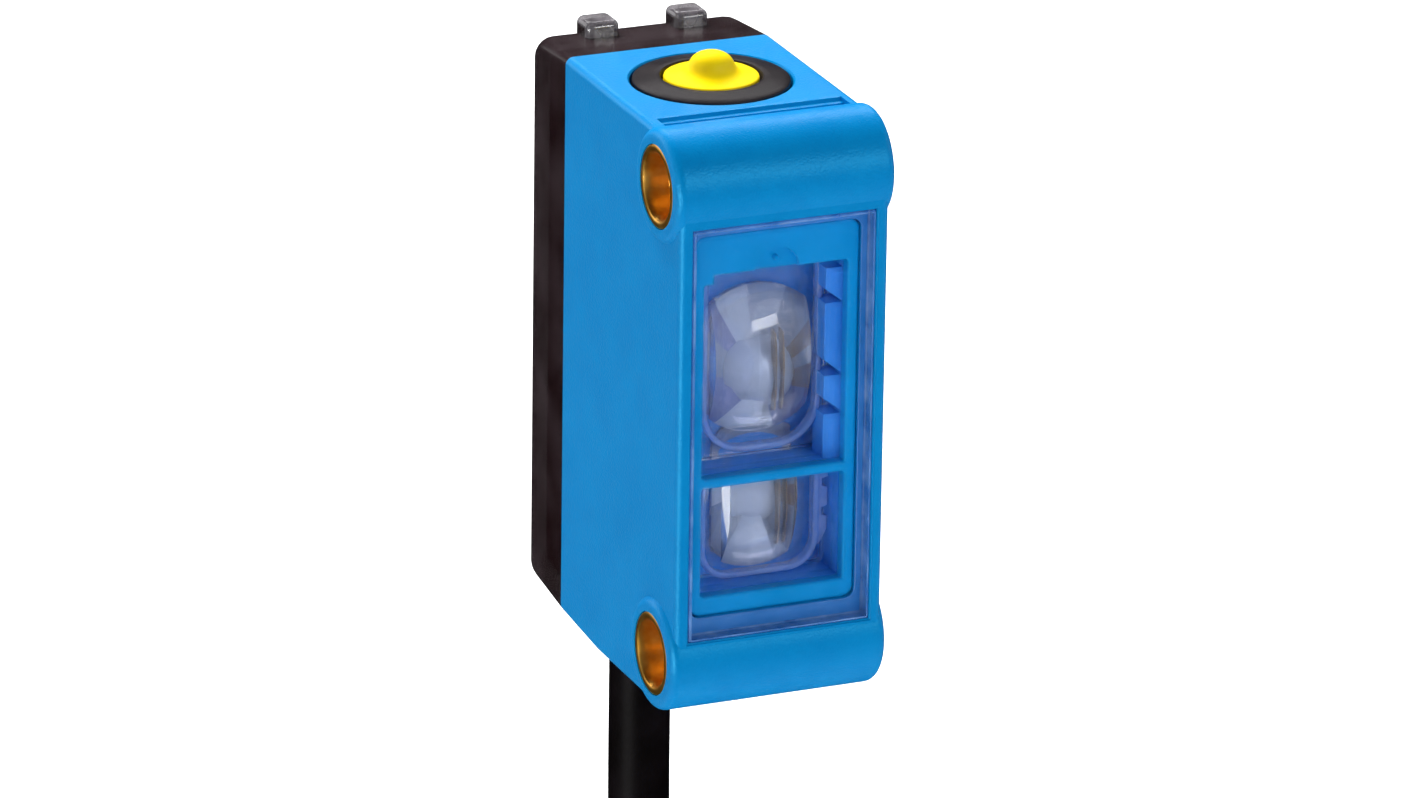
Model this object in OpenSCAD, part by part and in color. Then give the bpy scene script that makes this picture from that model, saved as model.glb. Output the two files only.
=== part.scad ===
// Miniature photoelectric sensor with two lenses behind a clear front pane, a
// teach button, and a short tied-up cable that ends in a round M8 plug.
// The origin is midway between the two mounting inserts, in the middle of the
// width. The light leaves towards -Y, the cover is at +Y, and +Z is up.

/* [Housing] */
// Width across the flat sides
body_w = 11.5; // [11:0.1:14]
// Distance between the axes of the two mounting inserts
hole_pitch = 25.4; // [24:0.1:31]
// Distance from the insert axes forward to the front face
front_d = 2.75; // [2.7:0.05:2.95]
// Distance from the insert axes back to the seam with the cover
seam_d = 13; // [12.8:0.1:16]
// Height of the flat top above the upper insert axis
top_rise = 2.8; // [2.75:0.05:2.95]
// Drop of the underside below the lower insert axis
bottom_drop = 2.95; // [2.85:0.05:3]
// How much the underside rises on its way to the seam
bottom_lift = 0.4; // [0:0.05:0.6]
// Radius of the round bosses that carry the inserts
boss_r = 3; // [2.9:0.05:3.1]
// How far a boss stands out of each side
boss_stand = 0.25; // [0.1:0.05:0.5]
// Wall thickness of the housing
wall = 1; // [0.8:0.05:1.25]
// Radius of the upright front edges
front_edge_r = 0.5; // [0.2:0.05:0.7]

/* [Inserts] */
// Outer diameter of the brass inserts
insert_d = 4.4; // [4:0.1:5.3]
// Core diameter of the M3 thread in the inserts
thread_core_d = 2.5; // [2.1:0.1:3]
// Diameter of the countersink at each end of an insert
insert_mouth_d = 3.5; // [3.2:0.1:4]

/* [Cover] */
// Depth of the cover behind the seam
cover_d = 5.5; // [5.3:0.1:7]
// Wall thickness of the cover
cover_wall = 0.8; // [0.6:0.05:1]
// How much each side of the cover leans in over its depth
cover_draft = 0.2; // [0:0.05:0.3]
// Radius of the cover's upper rear edge
cover_top_r = 1.8; // [1.2:0.1:2.4]
// Radius of the cover's lower rear edge
cover_low_r = 1.2; // [0.8:0.1:2]
// Radius of the cover's upright rear edges
cover_side_r = 0.8; // [0.4:0.1:1.2]
// Distance between the two indicator windows on the cover
indicator_pitch = 5; // [4:0.1:6]
// Width and depth of an indicator window
indicator_w = 1.85; // [1.5:0.05:2.3]
// Height of an indicator window above the top
indicator_h = 0.85; // [0.5:0.05:1.2]

/* [Front window] */
// Width of the housing's rim beside the pane
pane_rim = 0.7; // [0.6:0.05:0.9]
// Gap from the upper insert axis down to the pane
pane_top_gap = 1.65; // [1.5:0.05:2]
// Gap from the lower insert axis up to the pane
pane_low_gap = 1.4; // [1.3:0.05:1.8]
// Thickness of the pane
pane_t = 0.9; // [0.7:0.05:1.1]
// Thickness of the seal behind the pane
seal_t = 0.15; // [0.1:0.01:0.2]
// Width of the seal at each side
seal_w = 0.45; // [0.35:0.05:0.6]

/* [Optics] */
// Thickness of the carrier's front plate
plate_t = 0.8; // [0.6:0.05:0.9]
// Thickness of the carrier's side walls
carrier_wall = 0.6; // [0.4:0.05:0.8]
// Height of the bar between the two openings
bar_h = 0.55; // [0.4:0.05:0.8]
// Height of the bar's middle above the origin
bar_z = -3.125; // [-3.3:0.005:-2.9]
// Diameter of both lenses, before their sides are cut
lens_d = 8; // [6.5:0.1:8.2]
// Radius of curvature of the lenses
lens_curve_r = 6; // [5.5:0.1:8]
// Width of the receiver's lens between its cut sides
rx_lens_w = 5.3; // [4.4:0.1:6.4]
// Width of the emitter's lens between its cut sides
tx_lens_w = 3.7; // [3:0.1:4.5]
// Height of the receiver's lens axis
rx_z = 2.5; // [2:0.1:3]
// Height of the emitter's lens axis
tx_z = -4.9; // [-5.3:0.1:-4.8]
// Thickness of the lens flanges
flange_t = 0.8; // [0.6:0.05:1]

/* [Teach button] */
// Diameter of the button
button_d = 5; // [4:0.05:6]
// Outer diameter of the seal ring round the button
ring_d = 8.2; // [7.8:0.05:8.4]
// Distance from the insert axes back to the button's axis
button_y = 7.25; // [7.25:0.05:8.2]
// Height of the button's dome above the flat top
dome_h = 1.5; // [1:0.05:2]
// Travel of the button
button_travel = 0.35; // [0.2:0.05:0.4]
// Gap round the button
button_gap = 0.12; // [0.08:0.01:0.2]

/* [Cable and plug] */
// Diameter of the cable
cable_d = 3.3; // [2.8:0.1:4]
// Wall thickness of the grommet round the cable
grommet_wall = 0.5; // [0.45:0.05:0.65]
// Diameter of the plug's grip
plug_d = 9.6; // [9:0.1:10]
// Outer diameter of the knurled part of the coupling screw
knurl_d = 10; // [9.4:0.1:10.2]
// Diameter of the thread on the coupling screw
plug_thread_d = 8; // [7.6:0.1:8]
// Diameter of the plug's contact pins
pin_d = 1; // [0.8:0.1:1]
// Distance from the plug's axis to each pin
pin_ring_r = 1.5; // [1.3:0.1:1.7]

/* [Hidden] */
$fn = 64;
e = 0.01;                                   // overshoot of a cut past a face
fit = 0.05;                                 // gap between fixed parts that slide together

half = hole_pitch / 2;
top_z = half + top_rise;
bottom_z = -half - bottom_drop;
inner_w = body_w - 2 * wall;
roof_z = top_z - wall;
floor_z = bottom_z + wall + bottom_lift;
neck_r = 0.3;                               // round shoulder of the groove behind a boss
neck_y = 1.95;                              // front of that shoulder
cheek_w = 0.65;                             // side strip that the groove leaves plain
slope_y = 8;                                // where the underside starts to rise

insert_r = insert_d / 2;
insert_len = body_w + 2 * boss_stand;

pane_w = body_w - 2 * pane_rim;
insert_gap = sqrt(pow(insert_r, 2) - pow(front_d - pane_t - seal_t, 2));  // where the seal meets an insert
pane_top = half - max(pane_top_gap, insert_gap);
pane_low = -half + max(pane_low_gap, insert_gap);
pane_h = pane_top - pane_low;
pane_z = (pane_top + pane_low) / 2;
ledge_y = -front_d + pane_t + seal_t;
bay_w = pane_w - 2 * seal_w;
plate_back_y = ledge_y + plate_t;
plate_z = half - sqrt(pow(insert_r + 0.3, 2) - pow(plate_back_y, 2));
bay_z = half - boss_r - 0.05;
carrier_w = bay_w - 2 * fit;
tunnel_w = carrier_w - 2 * carrier_wall;
tunnel_z = bay_z - fit;
bar_top = bar_z + bar_h / 2;
bar_low = bar_z - bar_h / 2;
rx_open_top = plate_z - 2.25;
rx_tunnel_top = tunnel_z - carrier_wall;
tx_tunnel_low = -tunnel_z + 0.3;
lens_y = plate_back_y + 1.6;                // front of the lens flanges
lens_sag = lens_curve_r - sqrt(pow(lens_curve_r, 2) - pow(lens_d / 2, 2));
rib_zs = [7.9, 5.9, 2, -0.1];               // heights of the light-trap ribs
rib_reach = 0.9;

board_t = 0.8;
board_y = seam_d - 0.2;                     // rear face of the main board
board_front = board_y - board_t;
board_w = inner_w - 1.3;
board_z = half + 1.1;
carrier_back = board_front - 1.8;
sub_t = 0.6;
sub_z = tunnel_z + 0.35;                    // underside of the switch board
sub_top = sub_z + sub_t;

ring_r = ring_d / 2;
seat_r = ring_r + fit + 0.05;
button_r = button_d / 2;
ring_in_r = button_r + button_gap;
seat_z = top_z - 2.1;                       // floor of the ring's seat
seat_floor_t = 0.6;
collar_r = min(seat_r + 0.35, inner_w / 2);
flange_r = button_r + 0.4;
flange_hole_r = flange_r + 0.25;
flange_top = seat_z - fit;
flange_low = flange_top - 0.5;
plunger_r = 0.7;
switch_h = 1.2;
switch_top = sub_top + switch_h;
stem_low = switch_top + 0.4;
plunger_low = switch_top + 0.1 - button_travel;
switch_w = 3.6;
switch_d = 3.2;

rear_y = seam_d + cover_d;
cover_half = body_w / 2;
cover_back_half = cover_half - cover_draft;
cover_top_back = top_z - 0.2;
cover_low_front = bottom_z + bottom_lift;
cover_low_back = cover_low_front + 0.2;
indicator_y = rear_y - 1.85;
indicator_top = cover_top_back + indicator_h + 0.05;

cable_r = cable_d / 2;
grommet_d = cable_d + 2 * grommet_wall;
cable_y = rear_y - cover_wall / 2 - grommet_d / 2 - 0.05;
grommet_low = cover_low_front - 0.35;
grommet_top = grommet_low + 3;
jacket_top = grommet_top + 1.9;
wire_r = 0.5;

// The cable hangs straight from its exit, is folded into two loops that a tie
// holds at their waist, and turns aside into the plug. The points of each stretch
// count X and Y from where it begins.
cable_route = [[0, 0, -15.5], [0, 0, -18], [0, 0, -22], [0, 0, -26], [0, -0.1, -30], [0, -0.4, -34],
  [0, -0.9, -38], [0, -1.6, -42], [0, -2.5, -46], [0, -3.3, -50], [0, -3.8, -53], [0, -3.9, -55],
  [0, -3.9, -56]];
tail_route = [[0, 0, -62], [0, 0, -62.8], [0.2, 0, -64.6], [0.8, 0, -66.4], [1.9, 0, -68.4],
  [3, 0, -70.4], [3.6, 0, -72.2], [3.8, 0, -74], [3.8, 0, -75]];
tie_z = -59;
tie_h = 2.4;
strand_gap = cable_d + 0.1;
bundle_x = strand_gap;                      // middle of the three strands
bundle_y = cable_y - 3.9;
loop_r = 10;                                // every bend of the two loops, at the cable's middle
loop_reach = tie_h / 2 + loop_r * sqrt(3);  // from the tie to the middle of a loop
waist_h = 6;
plug_x = 2 * strand_gap + 3.8;
plug_y = bundle_y;
plug_top = -75;
sleeve_len = 6.5;
grip_len = 11;
grip_low = plug_top - sleeve_len - grip_len;
screw_gap = 0.15;
knurl_len = 6;
thread_len = 5;
knurl_low = grip_low - screw_gap - knurl_len;
thread_low = knurl_low - thread_len;
neck_plug_r = 3;                            // fixed shell that the coupling screw turns on
screw_bore_r = neck_plug_r + screw_gap;
shell_in_r = neck_plug_r - 0.4;

// A flat outline drawn in Y and Z, made w wide across X.
module across(w) {
  rotate([90, 0, 90]) linear_extrude(height = w, center = true) children();
}

// A flat outline drawn in X and Z, filling y0 to y1.
module facing(y0, y1) {
  translate([0, y1, 0]) rotate([90, 0, 0]) linear_extrude(height = y1 - y0) children();
}

// A flat outline drawn in X and Y, filling z0 to z1.
module upright(z0, z1) {
  translate([0, 0, z0]) linear_extrude(height = z1 - z0) children();
}

// A block given by its lowest and highest corners.
module block(low, high) {
  translate(low) cube(high - low);
}

// A rectangle with round corners, centred.
module round_rect(w, h, r) {
  square([w - 2 * r, h], center = true);
  square([w, h - 2 * r], center = true);
  for (x = [-1, 1], y = [-1, 1])
    translate([x * (w / 2 - r), y * (h / 2 - r)]) circle(r);
}

// A tube of eight sides along a list of points that never runs along ref.
function tangent(p, i) =
  let (a = p[max(i - 1, 0)], b = p[min(i + 1, len(p) - 1)]) (b - a) / norm(b - a);
function square_to(t, ref) = let (s = cross(t, ref)) s / norm(s);
module tube(points, r, ref = [0, 1, 0]) {
  n = 8;
  last = len(points) - 1;
  rings = [for (i = [0:last], k = [0:n - 1])
    let (t = tangent(points, i), u = square_to(t, ref), v = cross(t, u), a = 360 * k / n)
      points[i] + r * (cos(a) * u + sin(a) * v)];
  sides = [for (i = [0:last - 1], k = [0:n - 1])
    let (a = i * n + k, b = i * n + (k + 1) % n) [a + n, b + n, b, a]];
  ends = [[for (k = [0:n - 1]) k], [for (k = [n - 1:-1:0]) last * n + k]];
  polyhedron(points = rings, faces = concat(sides, ends));
}

module insert_axes() {
  for (z = [-half, half]) translate([0, 0, z]) rotate([0, 90, 0]) children();
}

// Side view of the housing without its bosses, where no groove runs.
module cheek_side() {
  top_y = sqrt(pow(boss_r, 2) - pow(top_rise, 2));
  low_y = sqrt(pow(boss_r, 2) - pow(min(bottom_drop, boss_r), 2));
  polygon([[-front_d, -half], [0, -half], [low_y, bottom_z], [slope_y, bottom_z],
    [seam_d, cover_low_front], [seam_d, top_z], [top_y, top_z], [0, half], [-front_d, half]]);
}

// The same view in the middle, with a groove behind each boss.
module body_side() {
  polygon([[-front_d, -half], [0, -half], [neck_y, bottom_z + neck_r], [neck_y + neck_r, bottom_z],
    [slope_y, bottom_z], [seam_d, cover_low_front], [seam_d, top_z], [neck_y + neck_r, top_z],
    [neck_y, top_z - neck_r], [0, half], [-front_d, half]]);
  translate([neck_y + neck_r, top_z - neck_r]) circle(neck_r);
  translate([neck_y + neck_r, bottom_z + neck_r]) circle(neck_r);
}

// Plan view of the housing, with round front edges.
module body_plan() {
  r = front_edge_r;
  translate([-body_w / 2, -front_d + r]) square([body_w, seam_d + front_d - r]);
  translate([-body_w / 2 + r, -front_d]) square([body_w - 2 * r, 2 * r]);
  for (x = [-1, 1]) translate([x * (body_w / 2 - r), -front_d + r]) circle(r);
}

// One boss along the Z axis, with round rims.
module boss() {
  r = boss_stand;
  rotate_extrude() {
    square([boss_r - r, insert_len / 2]);
    square([boss_r, insert_len / 2 - r]);
    translate([boss_r - r, insert_len / 2 - r]) circle(r);
  }
}

module housing() {
  color([0.0, 0.49, 0.77]) {
    difference() {
      union() {
        intersection() {
          union() {
            across(body_w - 2 * cheek_w) body_side();
            for (s = [-1, 1]) translate([s * (body_w - cheek_w) / 2, 0, 0]) across(cheek_w) cheek_side();
          }
          upright(bottom_z - 1, top_z + 1) body_plan();
        }
        insert_axes() union() { boss(); mirror([0, 0, 1]) boss(); }
      }
      facing(-front_d - 1, -front_d + pane_t + seal_t)
        translate([0, pane_z]) square([pane_w, pane_h], center = true);
      facing(ledge_y - e, plate_back_y) square([bay_w, 2 * plate_z], center = true);
      facing(plate_back_y - e, seam_d + 1) square([bay_w, 2 * bay_z], center = true);
      block([-inner_w / 2, boss_r + 0.4, floor_z], [inner_w / 2, seam_d + 1, seat_z - seat_floor_t]);
      difference() {
        block([-inner_w / 2, boss_r + 0.4, bay_z], [inner_w / 2, seam_d + 1, roof_z]);
        translate([0, button_y, seat_z - seat_floor_t]) cylinder(h = 5, r = collar_r);
      }
      translate([0, button_y, seat_z]) cylinder(h = 5, r = seat_r);
      translate([0, button_y, seat_z - seat_floor_t - e]) cylinder(h = 5, r = flange_hole_r);
      insert_axes() cylinder(h = insert_len + 2, r = insert_r, center = true);
    }
  }
}

// Side view and plan view of the cover, both inset by t for its hollow.
module cover_side(t) {
  top_r = cover_top_r - t;
  low_r = cover_low_r - t;
  back = rear_y - t;
  top = cover_top_back - t;
  low = cover_low_back + t;
  polygon([[seam_d - 1, top_z - t + 0.2 / cover_d], [seam_d, top_z - t], [back - top_r, top],
    [back, top - top_r], [back, low + low_r], [back - low_r, low], [seam_d, cover_low_front + t],
    [seam_d - 1, cover_low_front + t]]);
  translate([back - top_r, top - top_r]) circle(top_r);
  translate([back - low_r, low + low_r]) circle(low_r);
}

module cover_plan(t) {
  r = max(cover_side_r - t, 0.2);
  back = rear_y - t;
  w = cover_half - t;
  wb = cover_back_half - t;
  polygon([[-w, seam_d - 1], [-w, seam_d], [-wb, back - r], [-wb + r, back], [wb - r, back],
    [wb, back - r], [w, seam_d], [w, seam_d - 1]]);
  for (x = [-1, 1]) translate([x * (wb - r), back - r]) circle(r);
}

module cover_solid(t) {
  intersection() {
    across(2 * body_w) cover_side(t);
    upright(2 * bottom_z, 2 * top_z) cover_plan(t);
  }
}

module indicator_window() {
  w = indicator_w;
  intersection() {
    upright(cover_top_back - 0.6, indicator_top) round_rect(w, w, 0.4);
    facing(-w, w) translate([0, indicator_top - 1]) round_rect(w, 2, 0.4);
  }
}

module rear_cover() {
  color([0.23, 0.19, 0.2]) difference() {
    union() {
      intersection() {
        cover_solid(0);
        block([-body_w, seam_d, 2 * bottom_z], [body_w, rear_y + 1, 2 * top_z]);
      }
      for (x = [-1, 1]) translate([x * indicator_pitch / 2, indicator_y, 0]) indicator_window();
    }
    cover_solid(cover_wall);
    translate([0, cable_y, 2 * bottom_z])
      cylinder(h = grommet_top - 2 * bottom_z, r = grommet_d / 2);
  }
}

module front_window() {
  color([0.75, 0.82, 0.95]) facing(-front_d, -front_d + pane_t)
    translate([0, pane_z]) square([pane_w - 2 * fit, pane_h - 2 * fit], center = true);
}

module window_seal() {
  color([0.33, 0.36, 0.75]) facing(-front_d + pane_t, ledge_y) difference() {
    translate([0, pane_z]) square([pane_w - 2 * fit, pane_h - 2 * fit], center = true);
    square([bay_w, 2 * plate_z], center = true);
  }
}

// One block of the carrier that a light path leaves empty.
module light_path(y0, y1, z0, z1) {
  block([-tunnel_w / 2, y0, z0], [tunnel_w / 2, y1, z1]);
}

module optics_carrier() {
  color([0.1, 0.38, 0.75]) {
    difference() {
      union() {
        facing(ledge_y, plate_back_y) round_rect(carrier_w, 2 * (plate_z - fit), 0.5);
        facing(plate_back_y - e, carrier_back) square([carrier_w, 2 * tunnel_z], center = true);
      }
      light_path(ledge_y - 1, plate_back_y + e, bar_top, rx_open_top);
      light_path(plate_back_y, carrier_back + 1, bar_top, rx_tunnel_top);
      light_path(ledge_y - 1, carrier_back + 1, tx_tunnel_low, bar_low);
      facing(ledge_y - 1, ledge_y + 0.3) translate([0, rx_open_top]) circle(1.2);
    }
    for (z = rib_zs)
      block([tunnel_w / 2 - rib_reach, plate_back_y, z - 0.25],
        [tunnel_w / 2 + e, lens_y - 0.2, z + 0.25]);
  }
}

// A lens that is a slice of a ball in front of its flange.
module lens(z, w, flange_low_z, flange_top_z) {
  intersection() {
    translate([0, lens_y - lens_sag + lens_curve_r, z]) sphere(lens_curve_r, $fn = 96);
    block([-w / 2, lens_y - lens_sag - 1, max(z - lens_d / 2, flange_low_z)],
      [w / 2, lens_y, min(z + lens_d / 2, flange_top_z)]);
  }
  block([-tunnel_w / 2 + fit, lens_y, flange_low_z],
    [tunnel_w / 2 - fit, lens_y + flange_t, flange_top_z]);
}

module receiver_lens() {
  color([0.8, 0.85, 0.95]) lens(rx_z, rx_lens_w, bar_top + fit, rx_tunnel_top - fit);
}

module emitter_lens() {
  color([0.8, 0.85, 0.95]) lens(tx_z, tx_lens_w, tx_tunnel_low + fit, bar_low - fit);
}

// A brass bush with a countersink at each end of its threaded bore.
module insert_bush() {
  mouth = (insert_mouth_d - thread_core_d) / 2;
  end = insert_len / 2;
  rotate([0, 90, 0]) difference() {
    cylinder(h = insert_len, d = insert_d, center = true);
    cylinder(h = insert_len + 1, d = thread_core_d, center = true);
    for (m = [0, 1]) mirror([0, 0, m]) translate([0, 0, end - mouth])
      cylinder(h = mouth + e, d1 = thread_core_d, d2 = insert_mouth_d + 2 * e);
  }
}

module upper_insert() {
  color([0.78, 0.5, 0.14]) translate([0, 0, half]) insert_bush();
}

module lower_insert() {
  color([0.78, 0.5, 0.14]) translate([0, 0, -half]) insert_bush();
}

module button_ring() {
  color([0.22, 0.2, 0.21]) translate([0, button_y, 0]) rotate_extrude()
    polygon([[ring_in_r, seat_z], [ring_r, seat_z], [ring_r, top_z + 0.05], [ring_r - 0.1, top_z + 0.12],
      [ring_in_r + 0.15, top_z + 0.3], [ring_in_r, top_z + 0.25]]);
}

// A bell-shaped cap on a skirt, with a flange that the ring holds down.
module teach_button() {
  dome_r = 1.15;
  dish_z = top_z + 0.2;
  color([0.98, 0.84, 0.02]) translate([0, button_y, 0]) {
    rotate_extrude() polygon([[0, flange_low], [flange_r, flange_low], [flange_r, flange_top],
      [button_r, flange_top], [button_r, dish_z + 0.1], [button_r - 0.15, dish_z + 0.15],
      [button_r - 0.6, dish_z], [dome_r + 0.3, dish_z + 0.1], [dome_r, top_z + dome_h - dome_r],
      [0, top_z + dome_h - dome_r]]);
    intersection() {
      translate([0, 0, top_z + dome_h - dome_r]) sphere(dome_r);
      cylinder(h = 2 * top_z, r = dome_r);
    }
    translate([0, 0, stem_low]) cylinder(h = flange_low - stem_low + e, r = 1);
  }
}

module switch_plunger() {
  color([0.92, 0.92, 0.9]) translate([0, button_y, 0]) {
    translate([0, 0, plunger_low]) cylinder(h = stem_low - plunger_low, r = plunger_r);
  }
}

module switch_body() {
  color([0.12, 0.12, 0.12]) translate([0, button_y, 0]) difference() {
    block([-switch_w / 2, -switch_d / 2, sub_top], [switch_w / 2, switch_d / 2, switch_top - 0.2]);
    translate([0, 0, sub_top + 0.3]) cylinder(h = switch_h, r = 1.2);
  }
}

module switch_cover() {
  color([0.75, 0.76, 0.78]) translate([0, button_y, 0]) difference() {
    block([-switch_w / 2, -switch_d / 2, switch_top - 0.2], [switch_w / 2, switch_d / 2, switch_top]);
    translate([0, 0, switch_top - 1]) cylinder(h = 2, r = plunger_r + 0.1);
  }
}

module switch_board() {
  w = carrier_w / 2 - 0.6;
  color([0.06, 0.35, 0.16]) block([-w, boss_r + 0.9, sub_z], [w, board_front, sub_top]);
}

module board_pins() {
  color([0.85, 0.7, 0.3]) for (x = [-2:1:2])
    block([x - 0.2, board_front - 1, sub_top], [x + 0.2, board_front, sub_top + 0.4]);
}

module main_board() {
  color([0.06, 0.35, 0.16]) block([-board_w / 2, board_front, -board_z], [board_w / 2, board_y, board_z]);
}

module receiver_diode() {
  color([0.1, 0.1, 0.12]) {
    block([-1.6, board_front - 0.8, rx_z - 1.3], [1.6, board_front, rx_z + 1.3]);
    translate([0, board_front - 0.8, rx_z]) sphere(0.8, $fn = 32);
  }
}

module receiver_shield() {
  w = 6.6;
  color([0.8, 0.8, 0.82]) translate([0, 0, rx_z]) difference() {
    block([-w / 2, carrier_back + fit, -w / 2], [w / 2, board_front, w / 2]);
    block([-w / 2 + 0.25, carrier_back + 0.3, -w / 2 + 0.25],
      [w / 2 - 0.25, board_front + 1, w / 2 - 0.25]);
    facing(carrier_back - 1, carrier_back + 1) circle(1.5);
  }
}

module emitter_led() {
  color([0.9, 0.9, 0.85]) {
    block([-1.5, board_front - 0.9, tx_z - 1.5], [1.5, board_front, tx_z + 1.5]);
    translate([0, board_front - 0.9, tx_z]) sphere(0.75, $fn = 32);
  }
}

// A flat chip with legs on both sides, on the rear of the main board.
module chip(x, z, w, h, legs) {
  translate([x, board_y, z]) {
    block([-w / 2, 0.1, -h / 2], [w / 2, 1, h / 2]);
    for (i = [0:legs - 1], s = [-1, 1])
      translate([s * (w / 2 + 0.2), 0, (i - (legs - 1) / 2) * 0.65])
        block([-0.3, 0, -0.13], [0.3, 0.45, 0.13]);
  }
}

module processor_chip() {
  color([0.1, 0.1, 0.1]) chip(0.6, 6, 4, 4.4, 6);
}

module driver_chip() {
  color([0.12, 0.12, 0.12]) chip(1.2, -1.6, 3, 3, 4);
}

module regulator_chip() {
  color([0.12, 0.12, 0.12]) chip(1.4, -6, 1.6, 2.4, 3);
}

module capacitors() {
  color([0.72, 0.56, 0.36]) {
    for (z = [10.4, 2.2]) block([-3.5, board_y, z], [-1.9, board_y + 0.8, z + 0.8]);
    for (x = [-3, 2.4]) block([x, board_y, -10.6], [x + 0.8, board_y + 0.8, -9]);
    block([1.9, board_y, 9.6], [3.5, board_y + 0.8, 10.4]);
  }
}

module resistors() {
  color([0.15, 0.15, 0.17]) for (i = [0:4])
    block([-3.6, board_y, 0.6 - 1.1 * i], [-2.6, board_y + 0.35, 1.1 - 1.1 * i]);
}

module indicator_led(x) {
  block([x - 0.8, board_y, board_z - 1.3], [x + 0.8, board_y + 0.7, board_z - 0.3]);
}

module output_led() {
  color([1, 0.72, 0.2]) indicator_led(-indicator_pitch / 2);
}

module power_led() {
  color([0.5, 0.9, 0.4]) indicator_led(indicator_pitch / 2);
}

module cable_grommet() {
  color([0.08, 0.08, 0.08]) translate([0, cable_y, grommet_low]) difference() {
    cylinder(h = grommet_top - grommet_low, d = grommet_d);
    translate([0, 0, -1]) cylinder(h = 6, r = cable_r);
  }
}

module cable_crimp() {
  color([0.7, 0.7, 0.72]) translate([0, cable_y, grommet_top + 0.1]) difference() {
    cylinder(h = jacket_top - grommet_top - 0.4, r = cable_r + 0.12);
    translate([0, 0, -1]) cylinder(h = 6, r = cable_r);
  }
}

// A conductor from the cable's core at x, y to its pad on the main board.
module conductor(dx, dy, up, pad_x, pad_z) {
  start = [dx, cable_y + dy, jacket_top + 0.05];
  pad = [pad_x, board_y + 0.1, pad_z];
  tube([start, start + [0, 0, 0.6], up - [0, 0, 1], up, pad + [0, 1.6, 0.3], pad + [0, 0.9, 0], pad],
    wire_r, [1, 0, 0]);
}

module conductor_brown() {
  color([0.45, 0.24, 0.1]) conductor(-0.75, 0, [-3.9, seam_d + 2.6, -8], -3.5, 1.7);
}

module conductor_white() {
  color([0.92, 0.92, 0.9]) conductor(0, 0.75, [0.2, seam_d + 3.4, -7.4], 0.1, -8.4);
}

module conductor_blue() {
  color([0.1, 0.25, 0.7]) conductor(0.75, 0, [3.2, seam_d + 2.9, -8.2], 3.4, -6.6);
}

module conductor_black() {
  color([0.05, 0.05, 0.05]) conductor(0, -0.75, [-1.4, seam_d + 1.6, -8.2], -1.6, -7);
}

module cable() {
  inside = [[0, 0, jacket_top], [0, 0, grommet_top]];
  color([0.06, 0.05, 0.06]) translate([0, cable_y, 0]) tube(concat(inside, cable_route), cable_r);
}

// Outline of one loop, which bends outwards from the tie and then all the way round.
module loop_outline() {
  throat = (loop_r - cable_r) / 2;
  translate([0, loop_reach]) circle(loop_r + cable_r);
  difference() {
    translate([-loop_r + throat, tie_h / 2]) square([2 * (loop_r - throat), throat * sqrt(3)]);
    for (m = [-1, 1]) translate([m * loop_r, tie_h / 2]) circle(loop_r - cable_r);
  }
}

module cable_hank() {
  w = 2 * strand_gap + cable_d;
  color([0.06, 0.05, 0.06]) {
    for (m = [0, 1]) translate([bundle_x + (m - 0.5) * strand_gap, bundle_y, tie_z])
      across(strand_gap + cable_d) mirror([0, 1 - m]) loop_outline();
    translate([bundle_x, bundle_y, tie_z]) cube([w, cable_d, waist_h], center = true);
  }
}

module cable_tail() {
  color([0.06, 0.05, 0.06]) translate([2 * strand_gap, bundle_y, 0]) tube(tail_route, cable_r);
}

module cable_tie() {
  w = 2 * strand_gap + cable_d;
  t = 0.8;
  color([0.05, 0.05, 0.05]) translate([bundle_x, bundle_y, tie_z]) {
    difference() {
      cube([w + 2 * t, cable_d + 2 * t, tie_h], center = true);
      cube([w, cable_d, tie_h + 1], center = true);
    }
    block([-w / 2 - t - 2.2, -1.8, -1.7], [-w / 2 - t, 1.8, 1.7]);
  }
}

module plug_body() {
  color([0.07, 0.07, 0.07]) translate([plug_x, plug_y, 0]) difference() {
    rotate_extrude() polygon([[0, plug_top], [cable_r + 0.6, plug_top],
      [cable_r + 1.1, plug_top - sleeve_len], [plug_d / 2 - 0.6, plug_top - sleeve_len - 1],
      [plug_d / 2, plug_top - sleeve_len - 2], [plug_d / 2, grip_low], [0, grip_low]]);
    translate([0, 0, grip_low - 1]) cylinder(h = 3, r = neck_plug_r);
  }
}

module contact_carrier() {
  floor_low = knurl_low - 1;
  color([0.1, 0.1, 0.1]) translate([plug_x, plug_y, 0]) difference() {
    translate([0, 0, thread_low + 0.3]) cylinder(h = grip_low + 2 - thread_low - 0.3, r = neck_plug_r);
    translate([0, 0, thread_low - 1]) cylinder(h = floor_low - thread_low + 1, r = shell_in_r);
    for (a = [45:90:315]) rotate(a) translate([pin_ring_r, 0, floor_low - 1]) cylinder(h = 4, d = pin_d);
  }
}

module contact_pins() {
  floor_low = knurl_low - 1;
  color([0.88, 0.72, 0.3]) translate([plug_x, plug_y, 0]) for (a = [45:90:315])
    rotate(a) translate([pin_ring_r, 0, thread_low + 0.9]) {
      cylinder(h = floor_low + 3 - thread_low - 0.9, d = pin_d);
    }
}

module coupling_screw() {
  color([0.74, 0.73, 0.7]) translate([plug_x, plug_y, 0]) difference() {
    union() {
      translate([0, 0, knurl_low]) cylinder(h = knurl_len, d = knurl_d);
      translate([0, 0, thread_low]) cylinder(h = thread_len + e, d = plug_thread_d);
    }
    translate([0, 0, thread_low - 1]) cylinder(h = knurl_len + thread_len + 3, r = screw_bore_r);
  }
}

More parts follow.
